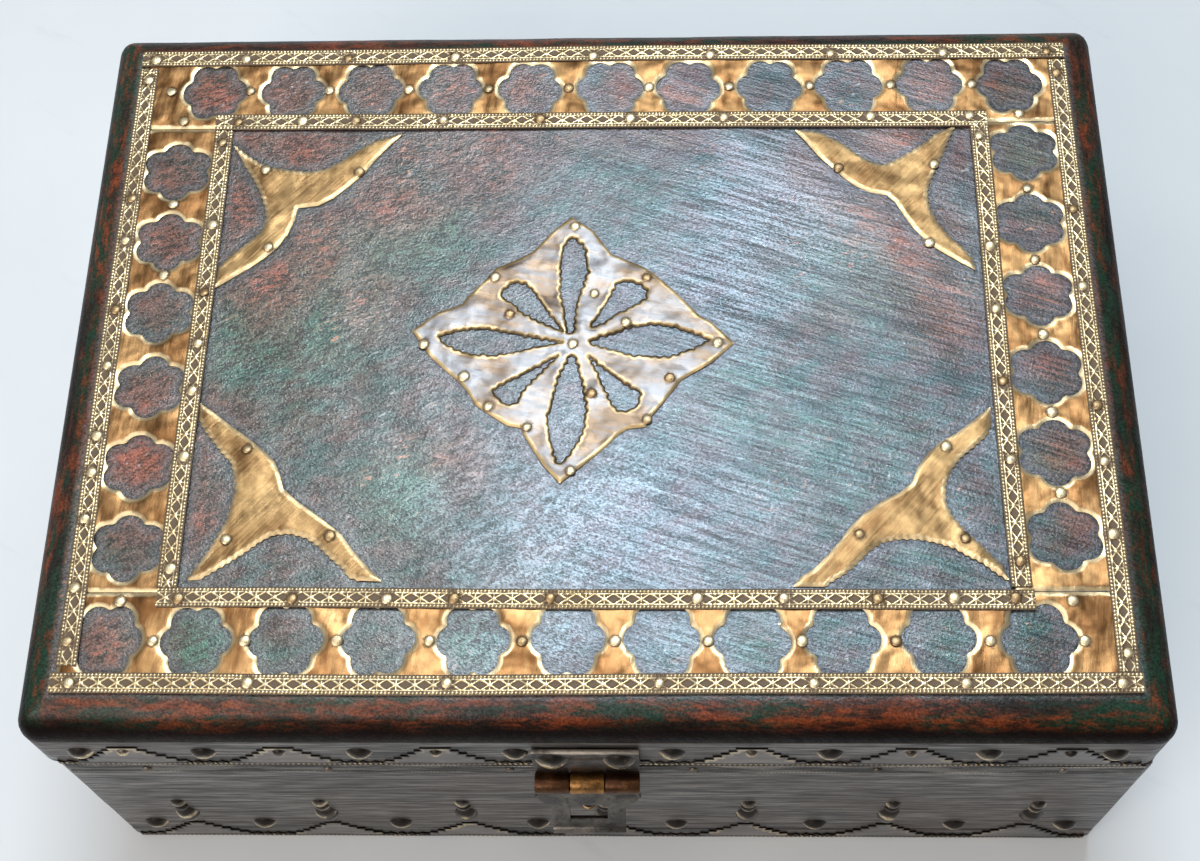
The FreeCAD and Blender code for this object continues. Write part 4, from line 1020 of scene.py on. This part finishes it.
def aged_paint():
    """Worn red and green paint under dark wax, with pale bluish patches of painted sheen and wax bloom, and
    fine brush marks.
    """
    paint = Finish("aged paint")
    x, y, z = (paint.axis(letter) for letter in "XYZ")
    rightward = x.spread(-30 * mm, 30 * mm)
    left_strokes = paint.grain((420, 950, 300), turn=-24, detail=2)
    right_strokes = paint.grain((60, 1300, 300), turn=20, shift=4, detail=2)
    stroke = left_strokes * (1.0 - rightward) + right_strokes * rightward
    cloud = paint.grain((26, 34, 30), turn=-20, shift=1, detail=7, rough=0.62)
    cloud_two = paint.grain((34, 28, 30), turn=15, shift=7, detail=7, rough=0.62)
    lumps = paint.grain((820, 1000, 900), shift=3, detail=2, rough=0.5)
    fine = paint.grain((1350, 1900, 1600), turn=14, shift=2, detail=2)
    mottle = paint.grain((110, 180, 140), turn=-10, shift=9, detail=5, rough=0.65)
    brushed = stroke + fine

    # the painted field: red and green patches, flakes, pale bluish patches of painted sheen and wax bloom,
    # and pale specks of dust and painted glint
    colour = paint.blend(mottle.spread(0.38, 0.62), (0.082, 0.036, 0.026), (0.020, 0.050, 0.040))
    green = patches(paint, green_spots, cloud) * (stroke + cloud_two).spread(0.85, 1.15, 0.2, 0.9)
    colour = paint.blend(green, colour, (0.013, 0.090, 0.050))
    red = patches(paint, red_spots, cloud_two) * (stroke + cloud).spread(0.82, 1.12, 0.3, 0.95)
    red = red * mottle.spread(0.38, 0.56, 0.25, 1.0)
    colour = paint.blend(red, colour, (0.25, 0.064, 0.032))
    flakes = cloud_two.spread(0.55, 0.62) * left_strokes.spread(0.62, 0.68)
    colour = paint.blend(flakes, colour, (0.32, 0.12, 0.06))
    # painted sheen and wax bloom: pale bluish patches where the window light is mirrored, broken by the brush
    # marks
    rubbed = patches(paint, sheen_and_bloom_spots, cloud) * brushed.spread(0.85, 1.2, 0.0, 0.7)
    colour = paint.blend(rubbed, colour, (0.30, 0.38, 0.46))
    colour = colour.shaded(brushed.spread(0.85, 1.15, 0.45, 1.6))
    # pale specks: dust, and painted glint of the sheen on the fine grain
    specks = paint.grain((380, 620, 500), turn=-24, shift=21, detail=2).spread(0.66, 0.76)
    colour = paint.blend(cloud.spread(0.50, 0.58) * specks, colour, (0.36, 0.37, 0.37))

    # grey haze along the brass, and dirt and painted shade darkening the paint right at its edges
    gap = paint.kept("brass_gap").ragged(lumps, 0.6)
    haze = gap.spread(1.4, 3.4, 0.75, 0.0) * fine.spread(0.3, 0.6)
    colour = paint.blend(haze, colour, (0.110, 0.108, 0.110))
    # dark rim at the brass edges: dirt, and painted shade where the sheets meet the paint
    colour = paint.blend(gap.spread(0.2, 1.2, 0.85, 0.0), colour, (0.020, 0.018, 0.017))

    # the rounded edge, smeared along its length and dark below, and the bare underside
    aside = abs(x - lid_x * mm).spread(130.5 * mm, 132.5 * mm)

    def smeared(along, across, upward, shift, detail):
        """Noise drawn out along the edge, on the long sides or on the short ones."""
        return paint.blend(aside, paint.grain((along, across, upward), shift=shift, detail=detail, rough=0.7),
                           paint.grain((across, along, upward), shift=shift + 1, detail=detail, rough=0.7))

    flecks = smeared(170, 520, 520, 15, 4)
    redder = smeared(24, 110, 160, 5, 7).spread(0.42, 0.58) * flecks.spread(0.42, 0.56, 0.12, 1.0)
    bared = paint.blend(redder, (0.016, 0.012, 0.009), (0.19, 0.042, 0.014))
    greener = (smeared(30, 120, 120, 11, 7) + aside * 0.05).spread(0.46, 0.56)
    bared = paint.blend(greener * flecks.spread(0.44, 0.6, 1.0, 0.2), bared, (0.012, 0.034, 0.019))
    bared = bared.shaded(fine.spread(0.35, 0.65, 0.6, 1.4))
    beyond = paint.sum("MAXIMUM", aside, abs(y).spread(94.3 * mm, 96.5 * mm))
    colour = paint.blend(beyond, colour, bared)
    low_down = z.ragged(cloud_two, 1.2 * mm).spread((lid_z - 4.8) * mm, (lid_z - 1.4) * mm, 0.97, 0)
    colour = paint.blend(low_down, colour, (0.006, 0.0035, 0.003))
    bare = paint.grain((16, 300, 300), shift=13, detail=5)
    bare = paint.blend(bare.spread(0.4, 0.6), (0.030, 0.020, 0.014), (0.095, 0.066, 0.046))
    colour = paint.blend(z.spread((lid_z - 9.8) * mm, (lid_z - 9.5) * mm, 1, 0), colour, bare)
    paint.coat(colour, lumps.spread(0.3, 0.7, 0.36, 0.26))
    paint.shader.inputs["IOR"].default_value = 1.75

    # the wax's shine: broken by the brush marks, weaker to the left, to the right and on the edge
    shine = z.spread((lid_z - 2.2) * mm, (lid_z - 0.3) * mm, 0.23, 0.5) - beyond * 0.21
    shine = shine * brushed.spread(0.85, 1.15, 0.76, 1.22)
    for first, last, left, right in ((-60, 0, 0.86, 1.0), (10, 70, 1.0, 0.78), (96, 108, 1.0, 0.66)):
        shine = shine * x.spread(first * mm, last * mm, left, right)
    hairs = paint.grain((110, 2300, 300), turn=16, shift=23, detail=2).spread(0.38, 0.60, 0.64, 1.18) - 1.0
    shine = shine * (hairs * rightward + 1.0)
    shine = shine * cloud_two.spread(0.40, 0.60, 0.88, 1.10)
    paint.lead(shine, paint.shader.inputs["Specular IOR Level"])
    # painted tint of the reflected light: bluish in the middle and to the right, warmer to the left, rosier
    # over the red
    tint = paint.blend(mottle.spread(0.40, 0.60), (0.92, 0.91, 1.0), (0.85, 0.92, 1.0))
    tint = paint.blend(x.spread(-60 * mm, 10 * mm), (1.0, 0.98, 0.93), tint)
    paint.lead(paint.blend(red, tint, (1.0, 0.90, 0.85)), paint.shader.inputs["Specular Tint"])
    paint.dents(lumps, 0.08, 0.9)
    paint.dents(stroke, 0.06, 0.8)
    paint.dents(fine, 0.10, 1.0)
    return paint.material


dress(lid_board(), aged_paint(), "lid", "painted_wood", "lid_top_board")

# Lid rails
# Four rails under the lid board, of the same dark wood as the base, nailed at the corners. They make
# the lid's shallow hollow.
for side, worn, wood in (("front", 0.8, wood_long), ("back", 0.8, wood_long), ("left", 0.5, wood_short),
                         ("right", 0.5, wood_short)):
    as_in_cad("lid_" + side + "_rail", side + "_rail", wood, "lid", "dark_wood", worn)

# Pierced strips of the lid, laid
# The strips lie straight on the paint, nailed to the board. Their cut edges are bright from rubbing and a
# painted highlight, and the middles brown.


def beaten_brass(name, brown, gold, sheen, brush, lay, hole_shade, hammer, polish):
    """Thin sheet brass: brown where it was left, golden where rubbed, bright along the cut edges from rubbing
    and a painted highlight.

    brush is the fineness of the scratches and lay their turn in degrees; hole_shade is the share of painted
    shade at the edge of its holes, hammer the depth of the beating in mm, polish the roughness where rubbed."""
    brass = Finish(name)
    cloud = brass.grain(60, shift=3)
    brushed = brass.grain(brush, turn=lay, detail=5, rough=0.7)
    fine = brass.grain(800, detail=4)
    tone = brass.blend((cloud * 0.6 + brushed * 0.4).spread(0.43, 0.58), brown, gold)
    grime = cloud.spread(0.6, 0.75) * fine.spread(0.4, 0.62)
    tone = brass.blend(grime, tone, (0.085, 0.045, 0.025))
    edge = brass.kept("edge").ragged(brushed, 0.3)
    # bright band along the cut edges: rubbing, and a painted highlight on the rolled edge
    tone = brass.blend(edge.spread(0.5, 1.2, 0.9, 0), tone, sheen)
    if hole_shade:
        hole = brass.kept("hole").ragged(fine, 0.25)
        # painted shade where the sheet bends down into its holes
        tone = brass.blend(hole.spread(0.3, 0.75, hole_shade, 0), tone, (0.050, 0.028, 0.014))
    tone = brass.blend(nail_darkening(brass, fine, 2.0, 0.75), tone, (0.055, 0.032, 0.018))
    brass.coat(tone, brushed.spread(0.3, 0.7, polish, polish + 0.18), 1.0)
    brass.dents(brushed, 0.07)
    brass.dents(brass.grain(110, shift=8, detail=2, rough=0.4), hammer)
    return brass.material


def lay_on_lid(piece, x=0, y=0, lift=0, turn=0):
    """Lay a flat piece on the lid board, in mm and degrees, and store its distances from the nails."""
    place = Matrix.Translation(((x + lid_x) * mm, y * mm, (lid_z + lift) * mm))
    piece.data.transform(place @ Matrix.Rotation(math.radians(turn), 4, "Z"))
    keep_nail_gap(piece)


fret_tones = ((0.19, 0.085, 0.031), (0.41, 0.220, 0.088), (0.86, 0.66, 0.38))
long_fret_brass, short_fret_brass = (
    beaten_brass(name, *fret_tones, brush=(420, 60, 60), lay=lay, hole_shade=0.0, hammer=1.4, polish=0.3)
    for name, lay in (("soft sheet brass", 8), ("soft sheet brass, short strips", 4)))
for seed, (face, loops) in enumerate(fret_loops.items()):
    sheet = cut_sheet(face + "_pierced_strip", loops, step=0.5, thickness=0.5, roll=1.3, sink=0.34, wave=0.22,
                      seed=seed + 30)
    lay_on_lid(sheet)
    brass = long_fret_brass if face in ("front", "back") else short_fret_brass
    dress(sheet, brass, "lid", "fret_brass", face + "_fret")

# Ribbon frames
# Two frames of stamped brass ribbon, beaded on both edges with a row of stars between, laid over the
# edges of the pierced strips and nailed down along their middles.
bright_ribbon = stamped_brass("stamped brass, rubbed bright", (0.13, 0.082, 0.045), (0.81, 0.625, 0.35),
                              (0.52, 0.365, 0.18), nailed=True)
ribbon_width, ribbon_lift = 5.2, 0.45
ribbon_lines = {
    "outer_front": (130.8, 0, -92.4, 0), "outer_back": (130.4, 0, 93.0, 0),
    "outer_left": (88.6, -127.8, 0.6, 90), "outer_right": (89.4, 127.8, 0, 90),
    "inner_front": (107.2, 0, -70.9, 0), "inner_back": (107.2, 0, 70.4, 0),
    "inner_left": (67.9, -104.6, 0, 90), "inner_right": (67.9, 104.6, 0, 90),
}
for seed, (side, (half, x, y, turn)) in enumerate(ribbon_lines.items()):
    strip = stamped_strip(side + "_stamped_ribbon", 2 * half, ribbon_width, base=0.35, relief=0.42,
                          seed=seed + 40)
    lay_on_lid(strip, x, y, ribbon_lift, turn)
    dress(strip, bright_ribbon, "lid", "ribbon_brass", side + "_ribbon")

# Corner plates and medallion, laid
# The plates are of thicker brass, beaten flat, brushed, and bright round their edges from rubbing and a
# painted highlight; the medallion is the palest, with painted shade round its holes. Dome nails hold them to
# the board.
plate_brass = beaten_brass("beaten plate brass", (0.15, 0.074, 0.029), (0.40, 0.240, 0.102),
                           (0.70, 0.50, 0.27), brush=(90, 1500, 90), lay=-48, hole_shade=0.0, hammer=1.2,
                           polish=0.32)
medallion_brass = beaten_brass("pale beaten brass", (0.19, 0.125, 0.080), (0.268, 0.250, 0.246),
                               (0.64, 0.44, 0.21), brush=(60, 420, 60), lay=12, hole_shade=0.8, hammer=1.4,
                               polish=0.33)
for seed, (corner, loop) in enumerate(plate_loops.items()):
    plate = cut_sheet(corner + "_three_arm_plate", [loop], step=0.45, thickness=0.6, roll=1.2, sink=0.3,
                      wave=0.2, seed=seed + 60)
    lay_on_lid(plate)
    dress(plate, plate_brass, "lid", "fret_brass", corner + "_corner_plate")
centre_plate = cut_sheet("pierced_medallion", medallion_loops, step=0.4, thickness=0.6, roll=1.0, sink=0.3,
                         wave=0.22, seed=66)
lay_on_lid(centre_plate)
plate_places = vertices_of(centre_plate.data)[:, :2] - np.array((lid_x, 0))
keep_value(centre_plate.data, "hole", np.abs(edge_gap(plate_places, medallion_loops[1:])))
dress(centre_plate, medallion_brass, "lid", "fret_brass", "medallion")

# Dome nails of the lid's brass
# Short brass nails with domed heads, cast and filed by hand, driven through ribbons, strips and
# plates into the board.
lid_nail = nail_finish("nail brass, worn bright", (0.80, 0.64, 0.40), (0.40, 0.26, 0.13), 0.54)
domes = dome_heads("lid_dome_nails", lid_nail_spots, radius=1.45, height=0.5, seed=8)
dress(domes, lid_nail, "lid", "nail_brass", "ornament_nails")

# Lid bands
# Strips of blackened brass round the lid's rails, scalloped like the skirts, with a small nail in each
# point and a dome boss in each scallop.
band_foot = 77.15
band_sheet = blackened_sheet("blackened brass sheet, bands", band_foot)
band_lengths = {"front": (270, 7), "back": (270, 7), "left": (198, 5), "right": (198, 5)}
for seed, (face, (length, count)) in enumerate(band_lengths.items()):
    outline = scalloped_outline(length, count, rim=2.6, height=14.3, low=band_foot, tip=8)
    band = cut_sheet(face + "_scalloped_band", [outline], step=0.5, thickness=0.6, roll=0.8, sink=0.25,
                     wave=0.1, seed=seed + 80)
    stand(band, face, lid_x, lid_half_x, lid_half_y)
    dress(band, band_sheet, "lid", "dark_sheet", "lid_" + face + "_band")
drive_bosses("lid_band_nails", "band_bosses", radius=3.2, body="lid")

# Back hinges, lid side
# The upper leaves of the hinges, of the same sheet iron, with one knuckle each, nailed over the back
# band.
for side in ("left", "right"):
    as_in_cad(side + "_hinge_lid_leaf", side + "_hinge_upper_leaf", iron, "lid", "iron", worn=0.2)
drive_nails("hinge_lid_nails", "hinge_upper_nails", iron, "lid", "iron", lift=1.1, radius=1.6, height=1.1,
            seed=9)

# Clasp
# A leaf of dark sheet brass held by two big slotted screws, and the hasp that turns on its pin: worn
# bright where fingers lift it, slotted for the staple, and curled at the end.


def clasp_brass(name, plate, plate_worn, knuckle, knuckle_worn, rim_height=None):
    """Sheet brass of one colour on the plate and another on the knuckle, pale along the top edge below a
    height in mm, from wear and a painted highlight.
    """
    pin_y, pin_z = -107.65, 72
    brass = Finish(name)
    cloud = brass.grain(150, shift=6)
    fine = brass.grain(900, detail=4)
    share = cloud.spread(0.42, 0.62)
    from_pin = brass.away((0, 1, 1), (0, pin_y, pin_z)).spread(2.8 * mm, 3.2 * mm)
    on_knuckle = brass.blend(share, knuckle, knuckle_worn)
    on_plate = brass.blend(share, plate, plate_worn)
    tone = brass.blend(from_pin, on_knuckle, on_plate)
    tone = brass.blend(fine.spread(0.56, 0.72), tone, (0.03, 0.022, 0.016))
    if rim_height:
        height = brass.axis("Z").ragged(cloud, 0.5 * mm)
        rim = height.spread((rim_height - 0.55) * mm, (rim_height - 0.1) * mm, 0, 0.9)
        # pale band along the top edge: wear, and a painted highlight where the edge faces the light
        tone = brass.blend(rim, tone, (0.40, 0.34, 0.28))
    brass.coat(tone, fine.spread(0.3, 0.7, 0.26, 0.46), 0.9)
    brass.dents(fine, 0.05)
    brass.dents(cloud, 0.3)
    return brass.material


leaf_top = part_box("clasp_leaf")[1][2] / mm
leaf_brass = clasp_brass("clasp leaf brass", (0.020, 0.017, 0.015), (0.085, 0.068, 0.055),
                         (0.055, 0.022, 0.010), (0.12, 0.052, 0.020), leaf_top)
hasp_brass = clasp_brass("hasp brass", (0.065, 0.058, 0.052), (0.15, 0.13, 0.108), (0.44, 0.205, 0.050),
                         (0.17, 0.080, 0.026))
as_in_cad("clasp_leaf", "clasp_upper_leaf", leaf_brass, "lid", "dark_sheet", worn=0.25)
# the slotted screws take the bosses' finish, with painted shade above and a painted highlight below
drive_bosses("clasp_screws", "clasp_slotted_screws", radius=5.0, body="lid")
as_in_cad("clasp_pin", "clasp_wire_pin", iron, "lid", "iron")
as_in_cad("hasp", "swinging_hasp", hasp_brass, "hasp", "nail_brass", worn=0.25)

# Floor, light and camera
# A pale painted table. Two cool lamps behind the box stand for a window and the sky in it, a wide one
# hangs above, and a warm one fills the front. The camera stands where the photo was taken from.


def pale_floor():
    """Off-white painted table top, faintly clouded and scuffed."""
    table = Finish("pale table")
    cloud = table.grain(6, detail=5)
    scuff = table.grain((16, 70, 20), turn=35, shift=4, rough=0.65)
    colour = table.blend(cloud.spread(0.35, 0.65), (0.69, 0.69, 0.69), (0.735, 0.735, 0.73))
    colour = table.blend(scuff.spread(0.62, 0.75, 0, 0.5), colour, (0.58, 0.585, 0.59))
    table.coat(colour, 0.55)
    return table.material


nothing_chosen()
bpy.ops.mesh.primitive_plane_add(size=6, location=(0, 0, -0.0002))
floor = bpy.context.object
floor.name = "table"
floor.data.materials.append(pale_floor())
floor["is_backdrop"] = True


def soft_lamp(name, place, target, width, depth, power, colour):
    """A soft lamp that faces a target."""
    nothing_chosen()
    bpy.ops.object.light_add(type="AREA", location=place)
    lamp = bpy.context.object
    lamp.name = name
    lamp.data.shape = "RECTANGLE"
    lamp.data.size = width
    lamp.data.size_y = depth
    lamp.data.energy = power
    lamp.data.color = colour
    lamp.rotation_euler = (Vector(target) - Vector(place)).to_track_quat("-Z", "Y").to_euler()


soft_lamp("window light", (0.03, 0.48, 1.35), (0.0, -0.03, 0.1), 0.50, 0.36, 9.5, (0.72, 0.87, 1.0))
soft_lamp("sky light", (0.12, 0.80, 1.35), (0.0, 0.0, 0.1), 0.6, 0.45, 4.5, (0.78, 0.90, 1.0))
soft_lamp("ceiling light", (-0.3, -0.05, 1.9), (0, 0, 0.05), 1.6, 1.2, 8.5, (1.0, 0.98, 0.95))
soft_lamp("front light", (-0.75, -1.15, 1.05), (0, -0.1, 0.0), 1.3, 0.9, 15, (1.0, 0.98, 0.96))
world = bpy.data.worlds.new("pale room")
bpy.context.scene.world = world
world.use_nodes = True
room = world.node_tree.nodes["Background"]
room.inputs["Color"].default_value = (0.93, 0.96, 1.0, 1)
room.inputs["Strength"].default_value = 0.24

nothing_chosen()
bpy.ops.object.camera_add()
camera = bpy.context.object
camera.name = "photo camera"
camera.data.sensor_width = 36
camera.data.lens = 54.046
camera.data.clip_start = 0.02
rows = ((0.99950565, 0.01015001, -0.02975632), (0.00381534, 0.9003003, 0.43525259),
        (0.03120744, -0.43515096, 0.8998165))
stance = Matrix(rows).transposed().to_4x4()
stance.translation = (0.01416, -0.22511, 0.51875)
camera.matrix_world = stance
bpy.context.scene.camera = camera
bpy.context.scene.view_settings.view_transform = "Standard"

low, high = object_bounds()
